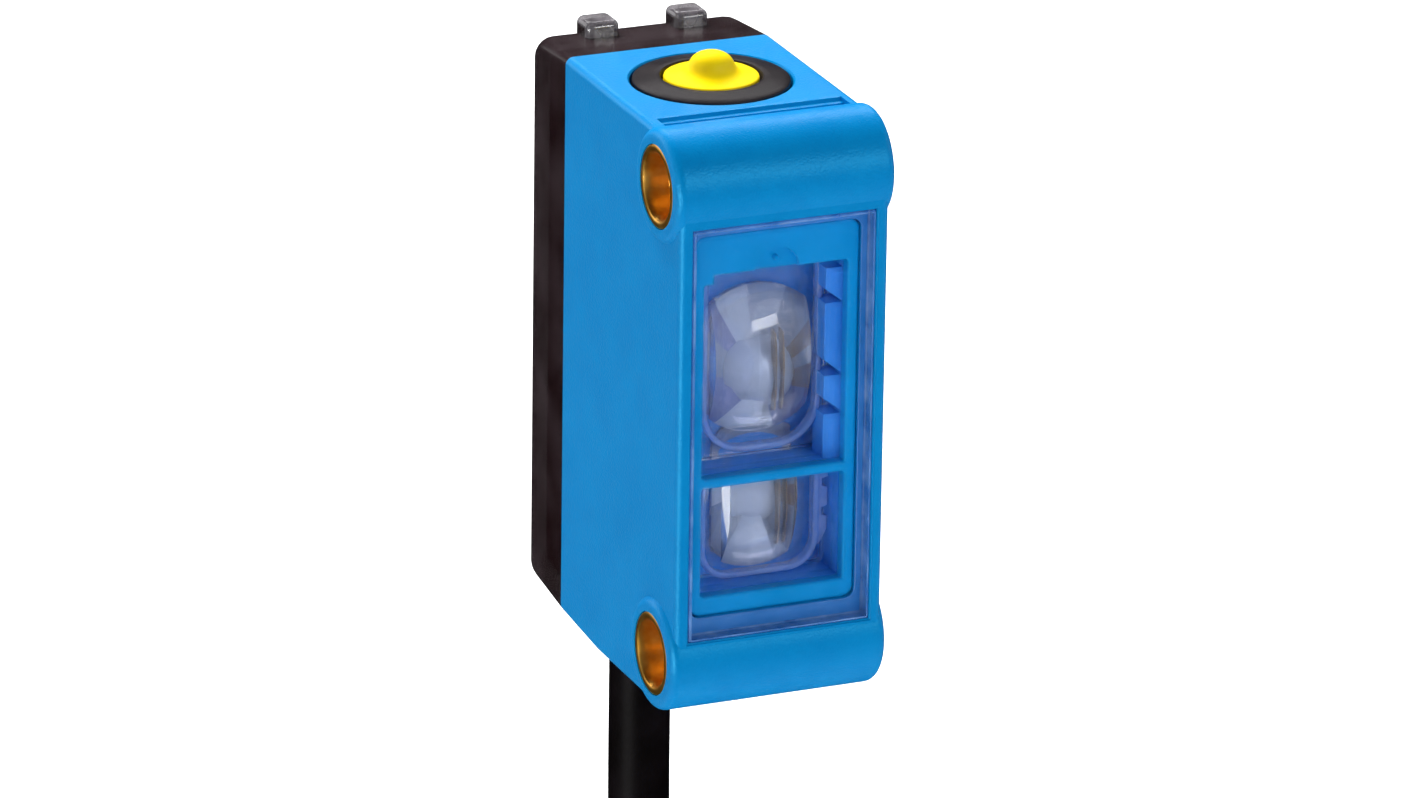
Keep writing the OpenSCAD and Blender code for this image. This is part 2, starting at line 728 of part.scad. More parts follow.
housing();
rear_cover();
front_window();
window_seal();
optics_carrier();
receiver_lens();
emitter_lens();
upper_insert();
lower_insert();
button_ring();
teach_button();
switch_plunger();
switch_body();
switch_cover();
switch_board();
board_pins();
main_board();
receiver_diode();
receiver_shield();
emitter_led();
processor_chip();
driver_chip();
regulator_chip();
capacitors();
resistors();
output_led();
power_led();
cable_grommet();
cable_crimp();
conductor_brown();
conductor_white();
conductor_blue();
conductor_black();
cable();
cable_hank();
cable_tail();
cable_tie();
plug_body();
contact_carrier();
contact_pins();
coupling_screw();
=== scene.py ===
import math

import bmesh
import bpy
from mathutils import Matrix, Vector
from mathutils.geometry import tessellate_polygon


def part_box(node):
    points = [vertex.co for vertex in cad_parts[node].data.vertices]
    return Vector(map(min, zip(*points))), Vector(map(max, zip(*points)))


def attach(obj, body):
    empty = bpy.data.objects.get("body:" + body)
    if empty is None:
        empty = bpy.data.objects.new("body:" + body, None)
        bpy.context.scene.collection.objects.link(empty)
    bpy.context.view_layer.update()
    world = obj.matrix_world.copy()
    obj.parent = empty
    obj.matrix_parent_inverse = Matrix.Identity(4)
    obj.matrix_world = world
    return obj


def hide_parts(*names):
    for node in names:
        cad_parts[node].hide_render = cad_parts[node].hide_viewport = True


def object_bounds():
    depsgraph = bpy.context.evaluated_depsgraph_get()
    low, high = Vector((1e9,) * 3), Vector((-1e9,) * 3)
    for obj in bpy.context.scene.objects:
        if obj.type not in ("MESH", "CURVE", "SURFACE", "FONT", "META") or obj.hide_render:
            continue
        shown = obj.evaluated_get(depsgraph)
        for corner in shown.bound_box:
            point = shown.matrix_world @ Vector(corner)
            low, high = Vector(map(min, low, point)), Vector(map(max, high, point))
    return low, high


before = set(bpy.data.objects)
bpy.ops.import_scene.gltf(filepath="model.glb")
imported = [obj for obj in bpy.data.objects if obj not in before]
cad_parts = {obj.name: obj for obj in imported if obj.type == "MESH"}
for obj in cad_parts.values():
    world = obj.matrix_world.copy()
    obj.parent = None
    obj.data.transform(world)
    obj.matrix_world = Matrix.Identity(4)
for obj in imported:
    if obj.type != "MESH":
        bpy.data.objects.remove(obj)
cad_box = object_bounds()


# ---------------------------------------------------------------- studio
# A white floor under soft light. The sensor is seen from its upper front left
# through a long lens. The floor lies a little below the tip of the hanging plug.
mm = 0.001
scene = bpy.context.scene
scene.view_settings.view_transform = "Standard"


def backward(azimuth, elevation):
    """Unit vector from the subject towards a camera or lamp at these angles in degrees."""
    a, e = math.radians(azimuth), math.radians(elevation)
    return Vector((math.sin(a) * math.cos(e), -math.cos(a) * math.cos(e), math.sin(e)))


look_at = Vector((0.08, 7.0, -1.96)) * mm
camera_azimuth, camera_elevation, camera_roll = -22.9, 20.35, 0.84
camera_distance = 488 * mm
back = backward(camera_azimuth, camera_elevation)
level_right = Vector((-back.y, back.x, 0)).normalized()
level_up = back.cross(level_right)
roll = math.radians(camera_roll)
right = math.cos(roll) * level_right + math.sin(roll) * level_up
up = back.cross(right)

camera_data = bpy.data.cameras.new("camera")
camera_data.lens = 238.3
camera_data.sensor_width = 36
camera_data.clip_start, camera_data.clip_end = 0.01, 20
camera = bpy.data.objects.new("camera", camera_data)
axes = Matrix((right, up, back)).transposed().to_4x4()
camera.matrix_world = Matrix.Translation(look_at + back * camera_distance) @ axes
scene.collection.objects.link(camera)
scene.camera = camera


def softbox(name, azimuth, elevation, distance, size, watts, mirrored=True, diffused=True):
    """A rectangular lamp that faces the sensor. It may light only glossy or only dull finishes."""
    lamp = bpy.data.lights.new(name, "AREA")
    lamp.shape = "RECTANGLE"
    lamp.size, lamp.size_y = size
    lamp.energy = watts
    holder = bpy.data.objects.new(name, lamp)
    away = backward(azimuth, elevation)
    holder.location = look_at + away * distance
    holder.rotation_mode = "QUATERNION"
    holder.rotation_quaternion = away.to_track_quat("Z", "Y")
    holder.visible_camera = False
    holder.visible_glossy = mirrored
    holder.visible_diffuse = diffused
    scene.collection.objects.link(holder)


softbox("front_softbox", 10, 15, 0.60, (0.26, 0.26), 0.66, mirrored=False)
softbox("front_strip", 22, 22, 0.60, (0.30, 0.10), 1.7, diffused=False)
softbox("left_softbox", -82, 22, 0.50, (0.30, 0.40), 0.42)
softbox("right_softbox", 78, 20, 0.60, (0.20, 0.40), 0.4)
softbox("rear_softbox", 166, 38, 0.60, (0.50, 0.12), 0.85)
softbox("overhead_fill", 180, 48, 0.60, (0.30, 0.30), 6.6, mirrored=False)
softbox("back_softbox", 215, 14, 0.60, (0.30, 0.30), 0.55)
softbox("low_kicker", -66, -10, 0.34, (0.20, 0.09), 1.6, diffused=False)

world = bpy.data.worlds.new("studio")
world.use_nodes = True
sky = world.node_tree.nodes["Background"]
sky.inputs["Color"].default_value = (0.93, 0.95, 1.0, 1)
sky.inputs["Strength"].default_value = 0.36
scene.world = world
world.cycles_visibility.glossy = False

floor_drop = 14 * mm
floor_reach = 1.6
floor_z = cad_box[0].z - floor_drop
floor_mesh = bpy.data.meshes.new("floor")
floor_mesh.from_pydata(
    [(x * floor_reach, y * floor_reach, floor_z) for x, y in ((-1, -1), (1, -1), (1, 1), (-1, 1))],
    [], [(0, 1, 2, 3)])
floor = bpy.data.objects.new("floor", floor_mesh)
scene.collection.objects.link(floor)
floor.visible_glossy = False


def finish(name, colour, roughness, other=None, patch=4.0, grain=0.0, depth=0.0, wear=0.05, **settings):
    """A finish whose colour drifts between two shades over patches of some millimetres,
    with a fine grain pressed into its surface. Keyword settings go to the shader's sockets."""
    material = bpy.data.materials.new(name)
    material.use_nodes = True
    tree = material.node_tree
    shader = tree.nodes["Principled BSDF"]
    place = tree.nodes.new("ShaderNodeTexCoord")
    drift = tree.nodes.new("ShaderNodeTexNoise")
    drift.inputs["Scale"].default_value = 1 / (patch * mm)
    drift.inputs["Detail"].default_value = 4
    tree.links.new(place.outputs["Object"], drift.inputs["Vector"])
    shades = tree.nodes.new("ShaderNodeValToRGB")
    shades.color_ramp.elements[0].position, shades.color_ramp.elements[1].position = 0.35, 0.65
    second = other or tuple(min(1, c * 1.12 + 0.004) for c in colour)
    shades.color_ramp.elements[0].color = (*colour, 1)
    shades.color_ramp.elements[1].color = (*second, 1)
    tree.links.new(drift.outputs["Fac"], shades.inputs["Fac"])
    tree.links.new(shades.outputs["Color"], shader.inputs["Base Color"])
    gloss = tree.nodes.new("ShaderNodeMapRange")
    gloss.inputs["To Min"].default_value = max(0, roughness - wear)
    gloss.inputs["To Max"].default_value = roughness + wear
    tree.links.new(drift.outputs["Fac"], gloss.inputs["Value"])
    tree.links.new(gloss.outputs["Result"], shader.inputs["Roughness"])
    if grain:
        pits = tree.nodes.new("ShaderNodeTexNoise")
        pits.inputs["Scale"].default_value = 1 / (grain * mm)
        pits.inputs["Detail"].default_value = 2
        tree.links.new(place.outputs["Object"], pits.inputs["Vector"])
        relief = tree.nodes.new("ShaderNodeBump")
        relief.inputs["Strength"].default_value = 1
        relief.inputs["Distance"].default_value = depth * mm
        tree.links.new(pits.outputs["Fac"], relief.inputs["Height"])
        tree.links.new(relief.outputs["Normal"], shader.inputs["Normal"])
    for socket, value in settings.items():
        shader.inputs[socket.replace("_", " ")].default_value = value
    return material


floor.data.materials.append(finish("floor_paint", (0.90, 0.90, 0.90), 0.75, patch=60, grain=0.5, depth=0.02,
                                   Emission_Color=(1, 1, 1, 1), Emission_Strength=0.12))


# ---------------------------------------------------------------- cable
# A round PVC-jacketed cable that leaves downwards from the cover. It is folded into
# two loops of even bends, tied at their waist, and turns aside into the plug.
cable_r = 1.65
exit_y = (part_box("cable_grommet")[0].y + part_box("cable_grommet")[1].y) / 2 / mm
grommet_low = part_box("cable_grommet")[0].z / mm
jacket_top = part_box("cable_crimp")[1].z / mm + 0.3
cable_route = [[0, 0, -15.5], [0, 0, -18], [0, 0, -22], [0, 0, -26], [0, -0.1, -30], [0, -0.4, -34],
               [0, -0.9, -38], [0, -1.6, -42], [0, -2.5, -46], [0, -3.3, -50], [0, -3.8, -53],
               [0, -3.9, -55], [0, -3.9, -56]]
tail_route = [[0, 0, -62], [0, 0, -62.8], [0.2, 0, -64.6], [0.8, 0, -66.4], [1.9, 0, -68.4],
              [3, 0, -70.4], [3.6, 0, -72.2], [3.8, 0, -74], [3.8, 0, -75]]
tie_low, tie_high = (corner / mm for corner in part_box("cable_tie"))
tie_z = (tie_low.z + tie_high.z) / 2
tie_half = 1.2
fold_shift = 3.9
bundle_y = exit_y - fold_shift
strand_gap = 2 * cable_r + 0.1
loop_r = 10.0
loop_reach = tie_half + loop_r * math.sqrt(3)


def loop_points(first_x, side):
    """One teardrop loop from the tie and back to it, one strand further along X."""
    plan = [(-loop_r + loop_r * math.cos(math.radians(a)), tie_half + loop_r * math.sin(math.radians(a)))
            for a in range(0, 60, 6)]
    plan += [(loop_r * math.cos(math.radians(a)), loop_reach + loop_r * math.sin(math.radians(a)))
             for a in range(240, -61, -6)]
    plan += [(loop_r + loop_r * math.cos(math.radians(a)), tie_half + loop_r * math.sin(math.radians(a)))
             for a in range(126, 181, 6)]
    points = []
    for i, (aside, along) in enumerate(plan):
        share = i / (len(plan) - 1)
        share = share * share * (3 - 2 * share)
        points.append((first_x + strand_gap * share, bundle_y + aside, tie_z + side * along))
    return points


def smooth_route(points, passes=2):
    """A route with its corners cut once in each pass. Its ends stay where they are."""
    for _ in range(passes):
        cut = [points[0]]
        for a, b in zip(points, points[1:]):
            a, b = Vector(a), Vector(b)
            cut += [tuple(a.lerp(b, 0.25)), tuple(a.lerp(b, 0.75))]
        points = cut + [points[-1]]
    return points


centreline = [(0, exit_y, jacket_top), (0, exit_y, grommet_low + 2)]
centreline += smooth_route([(x, exit_y + y, z) for x, y, z in cable_route])
centreline += loop_points(0, -1)
centreline += loop_points(strand_gap, 1)
centreline += smooth_route([(2 * strand_gap + x, bundle_y + y, z) for x, y, z in tail_route])


def cord_curve(name, points, radius):
    """A round cord along points given in millimetres."""
    line = bpy.data.curves.new(name, "CURVE")
    line.dimensions = "3D"
    line.bevel_depth = radius * mm
    line.bevel_resolution = 6
    line.use_fill_caps = True
    strand = line.splines.new("POLY")
    strand.points.add(len(points) - 1)
    for knot, place in zip(strand.points, points):
        knot.co = (*(c * mm for c in place), 1)
    strand.use_smooth = True
    cord = bpy.data.objects.new(name, line)
    scene.collection.objects.link(cord)
    return cord


jacket = finish("cable_jacket", (0.003, 0.002, 0.002), 0.42, other=(0.006, 0.004, 0.005), patch=2.5,
                grain=0.18, depth=0.006, Specular_IOR_Level=0.03)
cable = cord_curve("cable_run", centreline, cable_r)
cable.data.materials.append(jacket)
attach(cable, "sensor")
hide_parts("cable", "cable_hank", "cable_tail")


# ---------------------------------------------------------------- cable tie
# A black polyamide tie holds the folded cable at its waist. A ribbed band runs round
# the three strands and passes through a square ratchet head at one side.
def rounded(corners, radius, steps=5):
    """A closed outline whose corners are arcs of one radius, or of one radius each."""
    radii = radius if isinstance(radius, (list, tuple)) else [radius] * len(corners)
    outline = []
    for i, corner in enumerate(corners):
        here, r = Vector(corner), radii[i]
        before = (Vector(corners[i - 1]) - here).normalized()
        after = (Vector(corners[(i + 1) % len(corners)]) - here).normalized()
        if r <= 0:
            outline.append(tuple(here))
            continue
        half_angle = before.angle(after) / 2
        centre = here + (before + after).normalized() * (r / math.sin(half_angle))
        start = here + before * (r / math.tan(half_angle)) - centre
        end = here + after * (r / math.tan(half_angle)) - centre
        turn = math.atan2(start.x * end.y - start.y * end.x, start.dot(end))
        for k in range(steps + 1):
            outline.append(tuple(centre + Matrix.Rotation(turn * k / steps, 2) @ start))
    return outline


def rectangle(low_u, low_v, high_u, high_v):
    return [(low_u, low_v), (high_u, low_v), (high_u, high_v), (low_u, high_v)]


def inset(outline, distance):
    """The outline moved inwards by a distance, with mitred corners."""
    area = sum(a[0] * b[1] - b[0] * a[1] for a, b in zip(outline, outline[1:] + outline[:1]))
    hand = 1 if area > 0 else -1
    moved = []
    for i, corner in enumerate(outline):
        here = Vector(corner)
        one = (here - Vector(outline[i - 1])).normalized()
        two = (Vector(outline[(i + 1) % len(outline)]) - here).normalized()
        side = hand * Vector((-one.y - two.y, one.x + two.x))
        moved.append(tuple(here + side * (distance / max(0.3, 1 + one.dot(two)))))
    return moved


AXES = {"X": lambda u, v, w: (w, u, v), "Y": lambda u, v, w: (u, w, v), "Z": lambda u, v, w: (u, v, w)}


def rough_solid(points, faces):
    """A closed blank in millimetres, with its faces turned outwards."""
    mesh = bpy.data.meshes.new("blank")
    mesh.from_pydata(points, [], faces)
    work = bmesh.new()
    work.from_mesh(mesh)
    bmesh.ops.remove_doubles(work, verts=work.verts, dist=1e-5)
    bmesh.ops.recalc_face_normals(work, faces=work.faces)
    work.to_mesh(mesh)
    work.free()
    blank = bpy.data.objects.new("blank", mesh)
    scene.collection.objects.link(blank)
    return blank


def moulding(outline, low, high, edge=0.0, axis="Z", holes=(), steps=3, ends=(True, True)):
    """A prism of an outline from low to high along an axis, with round edges at its ends."""
    place = AXES[axis]
    levels = []
    if edge and ends[0]:
        levels += [(low + edge - edge * math.sin(math.pi / 2 * k / steps),
                    edge - edge * math.cos(math.pi / 2 * k / steps)) for k in range(steps, -1, -1)]
    else:
        levels.append((low, 0))
    if edge and ends[1]:
        levels += [(high - edge + edge * math.sin(math.pi / 2 * k / steps),
                    edge - edge * math.cos(math.pi / 2 * k / steps)) for k in range(steps + 1)]
    else:
        levels.append((high, 0))
    points, faces, caps = [], [], []
    for number, loop in enumerate([outline, *holes]):
        start, n = len(points), len(loop)
        for along, shrink in levels:
            moved = inset(loop, shrink if number == 0 else -shrink) if shrink else loop
            points += [place(u, v, along) for u, v in moved]
        for level in range(len(levels) - 1):
            for i in range(n):
                a, b = start + level * n + i, start + level * n + (i + 1) % n
                faces.append((a, b, b + n, a + n))
        caps.append((start, n))
    for level in (0, len(levels) - 1):
        rings = [[start + level * n + i for i in range(n)] for start, n in caps]
        if len(rings) == 1:
            faces.append(rings[0])
            continue
        order = [i for ring in rings for i in ring]
        loops = [[Vector(points[i]) for i in ring] for ring in rings]
        faces += [[order[i] for i in triangle] for triangle in tessellate_polygon(loops)]
    return rough_solid(points, faces)


def turned(profile, axis="Z", centre=(0, 0, 0), steps=64, closed=False):
    """A shape turned from a profile of (radius, place along the axis) points."""
    place, rings = AXES[axis], []
    points, faces = [], []
    for radius, along in profile:
        ring = []
        for k in range(steps if radius > 0 else 1):
            a = 2 * math.pi * k / steps
            ring.append(len(points))
            spot = place(radius * math.cos(a), radius * math.sin(a), along)
            points.append(tuple(c + s for c, s in zip(centre, spot)))
        rings.append(ring)
    pairs = list(zip(rings, rings[1:])) + ([(rings[-1], rings[0])] if closed else [])
    for one, two in pairs:
        for k in range(steps):
            if len(one) == 1 and len(two) == 1:
                continue
            a, b = one[k % len(one)], one[(k + 1) % len(one)]
            c, d = two[(k + 1) % len(two)], two[k % len(two)]
            faces.append([i for n, i in enumerate((a, b, c, d)) if i not in (a, b, c, d)[:n]])
    if not closed:
        faces += [ring for ring in (rings[0], rings[-1]) if len(ring) > 1]
    return rough_solid(points, faces)


def shaped(blank, action, tool):
    """Cuts, joins or trims a blank with a tool, which is used up."""
    change = blank.modifiers.new("shape", "BOOLEAN")
    change.operation, change.object, change.solver = action, tool, "EXACT"
    bpy.context.view_layer.update()
    made = blank.evaluated_get(bpy.context.evaluated_depsgraph_get())
    mesh = bpy.data.meshes.new_from_object(made)
    blank.modifiers.clear()
    blank.data = mesh
    bpy.data.objects.remove(tool)
    return blank


def gathered(blanks):
    """Several blanks as one mesh of separate solids."""
    work = bmesh.new()
    for blank in blanks:
        work.from_mesh(blank.data)
    work.to_mesh(blanks[0].data)
    work.free()
    for blank in blanks[1:]:
        bpy.data.objects.remove(blank)
    return blanks[0]


def piece(blank, name, body, material, stands_for=(), crease=32):
    """Turns a blank into a finished piece: real size, shading, finish and body; the parts it stands for are
    hidden.
    """
    blank.name = name
    mesh = blank.data
    mesh.name = name
    mesh.transform(Matrix.Scale(mm, 4))
    mesh.materials.clear()
    mesh.materials.append(material)
    mesh.shade_smooth()
    mesh.set_sharp_from_angle(angle=math.radians(crease))
    even = blank.modifiers.new("even_shading", "WEIGHTED_NORMAL")
    even.keep_sharp = True
    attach(blank, body)
    if stands_for:
        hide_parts(*stands_for)
    return blank


band_t = 0.8
bundle_x = strand_gap
bundle_half = strand_gap + cable_r
band_out = rounded(rectangle(bundle_x - bundle_half - band_t, bundle_y - cable_r - band_t,
                             bundle_x + bundle_half + band_t, bundle_y + cable_r + band_t), 1.9)
band_in = rounded(rectangle(bundle_x - bundle_half, bundle_y - cable_r,
                            bundle_x + bundle_half, bundle_y + cable_r), 1.2)
band = moulding(band_out, tie_z - tie_half, tie_z + tie_half, 0.2, "Z", [band_in])
rib_pitch, rib_w, rib_depth, plain_end = 0.6, 0.28, 0.18, 1.5
band_front = bundle_y - cable_r - band_t
for k in range(int(2 * (bundle_half - plain_end) / rib_pitch)):
    x = bundle_x - bundle_half + plain_end + rib_pitch * k
    groove = rectangle(x - rib_w / 2, band_front - 1, x + rib_w / 2, band_front + rib_depth)
    shaped(band, "DIFFERENCE", moulding(groove, tie_z - 0.8, tie_z + 0.8))
head_x = tie_low.x
head = moulding(rounded(rectangle(head_x, bundle_y - 1.8, head_x + 2.4, bundle_y + 1.8), 0.35),
                tie_z - 1.7, tie_z + 1.7, 0.25)
window = rectangle(head_x - 1, bundle_y - 1.3, head_x + 1.1, bundle_y + 0.6)
shaped(head, "DIFFERENCE", moulding(window, tie_z - 1.1, tie_z + 1.1))
pawl = moulding(rounded([(head_x + 0.25, bundle_y - 1.3), (head_x + 1.1, bundle_y - 1.3),
                         (head_x + 0.8, bundle_y - 0.2)], 0.08), tie_z - 1.0, tie_z + 1.0, 0.06)
polyamide = finish("tie_polyamide", (0.012, 0.012, 0.013), 0.45, patch=2, grain=0.12, depth=0.004,
                   Specular_IOR_Level=0.3)
tie = piece(gathered([band, head, pawl]), "tie_strap", "sensor", polyamide, ["cable_tie"])


# ---------------------------------------------------------------- plug
# A straight M8 plug of black polyurethane, moulded onto the cable end. Its grip is
# fluted, and its sleeve is slotted all round so that it bends with the cable.
plug_low, plug_high = (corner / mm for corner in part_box("plug_body"))
plug_x, plug_y = (plug_low.x + plug_high.x) / 2, (plug_low.y + plug_high.y) / 2
grip_r = (plug_high.x - plug_low.x) / 2
plug_top, grip_low = plug_high.z, plug_low.z
sleeve_len = 6.5
shell_r = (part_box("contact_carrier")[1].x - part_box("contact_carrier")[0].x) / 2 / mm
sleeve = [(cable_r - 0.3, plug_top), (cable_r + 0.45, plug_top), (cable_r + 0.6, plug_top - 0.2)]
for k in range(5):
    z = plug_top - 0.9 - 1.05 * k
    swell = cable_r + 0.65 + 0.1 * k
    sleeve += [(swell, z), (swell, z - 0.1), (swell - 0.35, z - 0.16), (swell - 0.35, z - 0.44),
               (swell, z - 0.5)]
sleeve += [(cable_r + 1.1, plug_top - sleeve_len), (cable_r + 1.5, plug_top - sleeve_len - 0.3),
           (grip_r - 0.7, plug_top - sleeve_len - 0.9), (grip_r - 0.2, plug_top - sleeve_len - 1.4),
           (grip_r, plug_top - sleeve_len - 2.1), (grip_r, grip_low + 0.4), (grip_r - 0.12, grip_low + 0.12),
           (grip_r - 0.4, grip_low), (shell_r, grip_low), (shell_r, grip_low + 2), (0, grip_low + 2)]
grip = turned([(0, plug_top - 1.5), (cable_r - 0.3, plug_top - 1.5)] + sleeve, "Z", (plug_x, plug_y, 0), 72)
flutes = 12
for k in range(flutes):
    a = 2 * math.pi * (k + 0.5) / flutes
    r = grip_r + 0.45
    groove = turned([(0, grip_low + 1.0), (0.5, grip_low + 1.2), (0.75, grip_low + 1.8),
                     (0.75, plug_top - sleeve_len - 3.6), (0.5, plug_top - sleeve_len - 3.0),
                     (0, plug_top - sleeve_len - 2.8)], "Z",
                    (plug_x + r * math.cos(a), plug_y + r * math.sin(a), 0), 20)
    shaped(grip, "DIFFERENCE", groove)
polyurethane = finish("plug_polyurethane", (0.014, 0.014, 0.015), 0.5, patch=3, grain=0.15, depth=0.008,
                      Specular_IOR_Level=0.3)
plug = piece(grip, "plug_grip", "sensor", polyurethane, ["plug_body"])


# ---------------------------------------------------------------- plug contacts
# A black insulator carries four gold-plated pins inside a thin round shell, which
# has a key rib. The pins have rounded tips and a small collar where they stand.
carrier_low, carrier_high = (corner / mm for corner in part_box("contact_carrier"))
pins_low, pins_high = (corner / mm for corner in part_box("contact_pins"))
pin_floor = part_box("coupling_screw")[0].z / mm + 4
shell_in = shell_r - 0.4
insulator = turned([(0, carrier_high.z), (shell_r, carrier_high.z), (shell_r, carrier_low.z + 0.12),
                    (shell_r - 0.1, carrier_low.z), (shell_in + 0.1, carrier_low.z),
                    (shell_in, carrier_low.z + 0.12), (shell_in, pin_floor), (0, pin_floor)],
                   "Z", (plug_x, plug_y, 0), 64)
key_plan = rectangle(plug_x - 0.3, plug_y - shell_in - 0.1, plug_x + 0.3, plug_y - shell_in + 0.5)
key = moulding(rounded(key_plan, 0.1), carrier_low.z + 0.4, pin_floor + 0.2, 0.08)
shaped(insulator, "UNION", key)
insulator_black = finish("contact_insulator", (0.02, 0.02, 0.021), 0.4, patch=1.5, grain=0.1, depth=0.003)
contact_block = piece(insulator, "contact_block", "sensor", insulator_black,
                      ["contact_carrier"])
pin_r, pin_ring = 0.5, 1.5
pins = []
for k in range(4):
    a = math.radians(45 + 90 * k)
    tip = pins_low.z
    outline = [(0, tip), (pin_r * 0.5, tip + 0.05), (pin_r * 0.87, tip + 0.22), (pin_r, tip + 0.5),
               (pin_r, pin_floor - 0.25), (pin_r + 0.1, pin_floor - 0.2), (pin_r + 0.1, pin_floor),
               (pin_r, pin_floor), (pin_r, pins_high.z), (0, pins_high.z)]
    stand = (plug_x + pin_ring * math.cos(a), plug_y + pin_ring * math.sin(a), 0)
    pins.append(turned(outline, "Z", stand, 24))
gold = finish("pin_gold", (0.85, 0.60, 0.22), 0.22, patch=0.8, grain=0.05, depth=0.001, Metallic=1.0)
contacts = piece(gathered(pins), "plug_pins", "sensor", gold, ["contact_pins"])


# ---------------------------------------------------------------- coupling screw
# A nickel-plated brass screw turns freely round the plug's shell. Its rim is knurled
# for the fingers, and an M8 thread of 1 mm pitch runs along its end.
screw_low, screw_high = (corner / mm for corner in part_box("coupling_screw"))
knurl_r = (screw_high.x - screw_low.x) / 2
thread_len = 5.0
knurl_low = screw_low.z + thread_len
bore_r = shell_r + 0.15
thread_r, thread_pitch, thread_depth = 4.0, 1.0, 0.55
teeth = 36
rings, spins = [], teeth * 4
knurl_depth, knurl_wave = 0.28, (0, 0.7, 1, 0.7)
for z, cut, swell in ((screw_high.z, 0, -0.45), (screw_high.z - 0.2, 0, -0.15), (screw_high.z - 0.35, 0, 0),
                      (screw_high.z - 1.0, 0, 0), (screw_high.z - 1.1, 0, -0.25),
                      (screw_high.z - 1.4, 0, -0.25), (screw_high.z - 1.5, 1, -0.1),
                      (screw_high.z - 1.7, 1, 0), (knurl_low + 0.5, 1, 0), (knurl_low + 0.3, 1, -0.1),
                      (knurl_low + 0.2, 0, -0.3), (knurl_low, 0, -0.5)):
    rings.append([(knurl_r + swell - cut * knurl_depth * knurl_wave[k % 4], z) for k in range(spins)])
samples = 8
for j in range(1, int(thread_len / thread_pitch * samples) + 1):
    z = knurl_low - j * thread_pitch / samples
    ring = []
    for k in range(spins):
        phase = (z / thread_pitch + k / spins) % 1
        groove = max(0, 1 - abs(phase - 0.5) / 0.42)
        fade = min(1, (knurl_low - z) / 0.8)
        lead = max(0, 1 - (z - screw_low.z) / 0.5) * 0.45
        ring.append((min(thread_r - thread_depth * groove * fade, thread_r - lead), z))
    rings.append(ring)
bore_edge = 0.15
for radius, z in ((bore_r + bore_edge, screw_low.z), (bore_r, screw_low.z + bore_edge),
                  (bore_r, screw_high.z - bore_edge), (bore_r + bore_edge, screw_high.z)):
    rings.append([(radius, z)] * spins)
points, faces = [], []
for ring in rings:
    for k, (radius, z) in enumerate(ring):
        a = 2 * math.pi * k / spins
        points.append((plug_x + radius * math.cos(a), plug_y + radius * math.sin(a), z))
for j in range(len(rings)):
    for k in range(spins):
        a, b = j * spins + k, j * spins + (k + 1) % spins
        c, d = ((j + 1) % len(rings)) * spins + (k + 1) % spins, ((j + 1) % len(rings)) * spins + k
        faces.append((a, b, c, d))
nickel = finish("screw_nickel", (0.60, 0.57, 0.52), 0.24, other=(0.68, 0.65, 0.60), patch=2, grain=0.08,
                depth=0.002, Metallic=0.8)
screw = piece(rough_solid(points, faces), "screw_ring", "coupling", nickel,
              ["coupling_screw"])


# ---------------------------------------------------------------- main board
# A glass-fibre board with green solder mask stands across the back of the housing.
# Its chips, capacitors, resistors and two indicator lights are soldered to its rear.
def dressed(node, material):
    """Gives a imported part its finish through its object's own material slots."""
    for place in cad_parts[node].material_slots:
        place.link = "OBJECT"
        place.material = material


solder_mask = finish("solder_mask", (0.008, 0.10, 0.035), 0.35, other=(0.02, 0.17, 0.06), patch=1.1,
                     grain=0.3, depth=0.01, Coat_Weight=0.4)
chip_resin = finish("chip_resin", (0.015, 0.015, 0.017), 0.5, patch=1, grain=0.08, depth=0.004)
tinned_steel = finish("tinned_steel", (0.62, 0.62, 0.63), 0.3, patch=0.6, grain=0.1, depth=0.002,
                      Metallic=1.0)
dressed("main_board", solder_mask)
dressed("switch_board", solder_mask)
for node in ("processor_chip", "driver_chip", "regulator_chip"):
    dressed(node, chip_resin)
dressed("capacitors", finish("ceramic", (0.42, 0.28, 0.14), 0.45, other=(0.55, 0.40, 0.22), patch=0.5))
dressed("resistors", finish("thick_film", (0.02, 0.02, 0.024), 0.3, patch=0.4))
dressed("output_led", finish("amber_lens", (0.95, 0.42, 0.03), 0.2, patch=0.5, Transmission_Weight=0.4))
dressed("power_led", finish("green_lens", (0.22, 0.75, 0.12), 0.2, patch=0.5, Transmission_Weight=0.4))
dressed("receiver_diode", chip_resin)
dressed("emitter_led", finish("emitter_package", (0.80, 0.80, 0.76), 0.35, patch=0.8))
dressed("receiver_shield", tinned_steel)
dressed("board_pins", gold)

board_low, board_high = (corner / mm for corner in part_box("main_board"))
track_w, track_t = 0.16, 0.03
tracks = []
for k in range(9):
    z = board_low.z + 1.6 + 2.6 * k
    bend = 0.5 + 0.12 * (k % 3)
    for side in (-1, 1):
        x0, x1 = side * (board_high.x - 0.35), side * (1.9 + 0.35 * (k % 4))
        line = [(x0, z), (x0 - side * 0.4, z + bend), (x1, z + bend)]
        upper = [(x, zz + track_w) for x, zz in reversed(line)]
        tracks.append(moulding(line + upper, board_high.y, board_high.y + track_t, axis="Y"))
piece(gathered(tracks), "board_tracks", "sensor",
      finish("masked_copper", (0.03, 0.20, 0.06), 0.3, other=(0.05, 0.26, 0.09), patch=1, Coat_Weight=0.4))


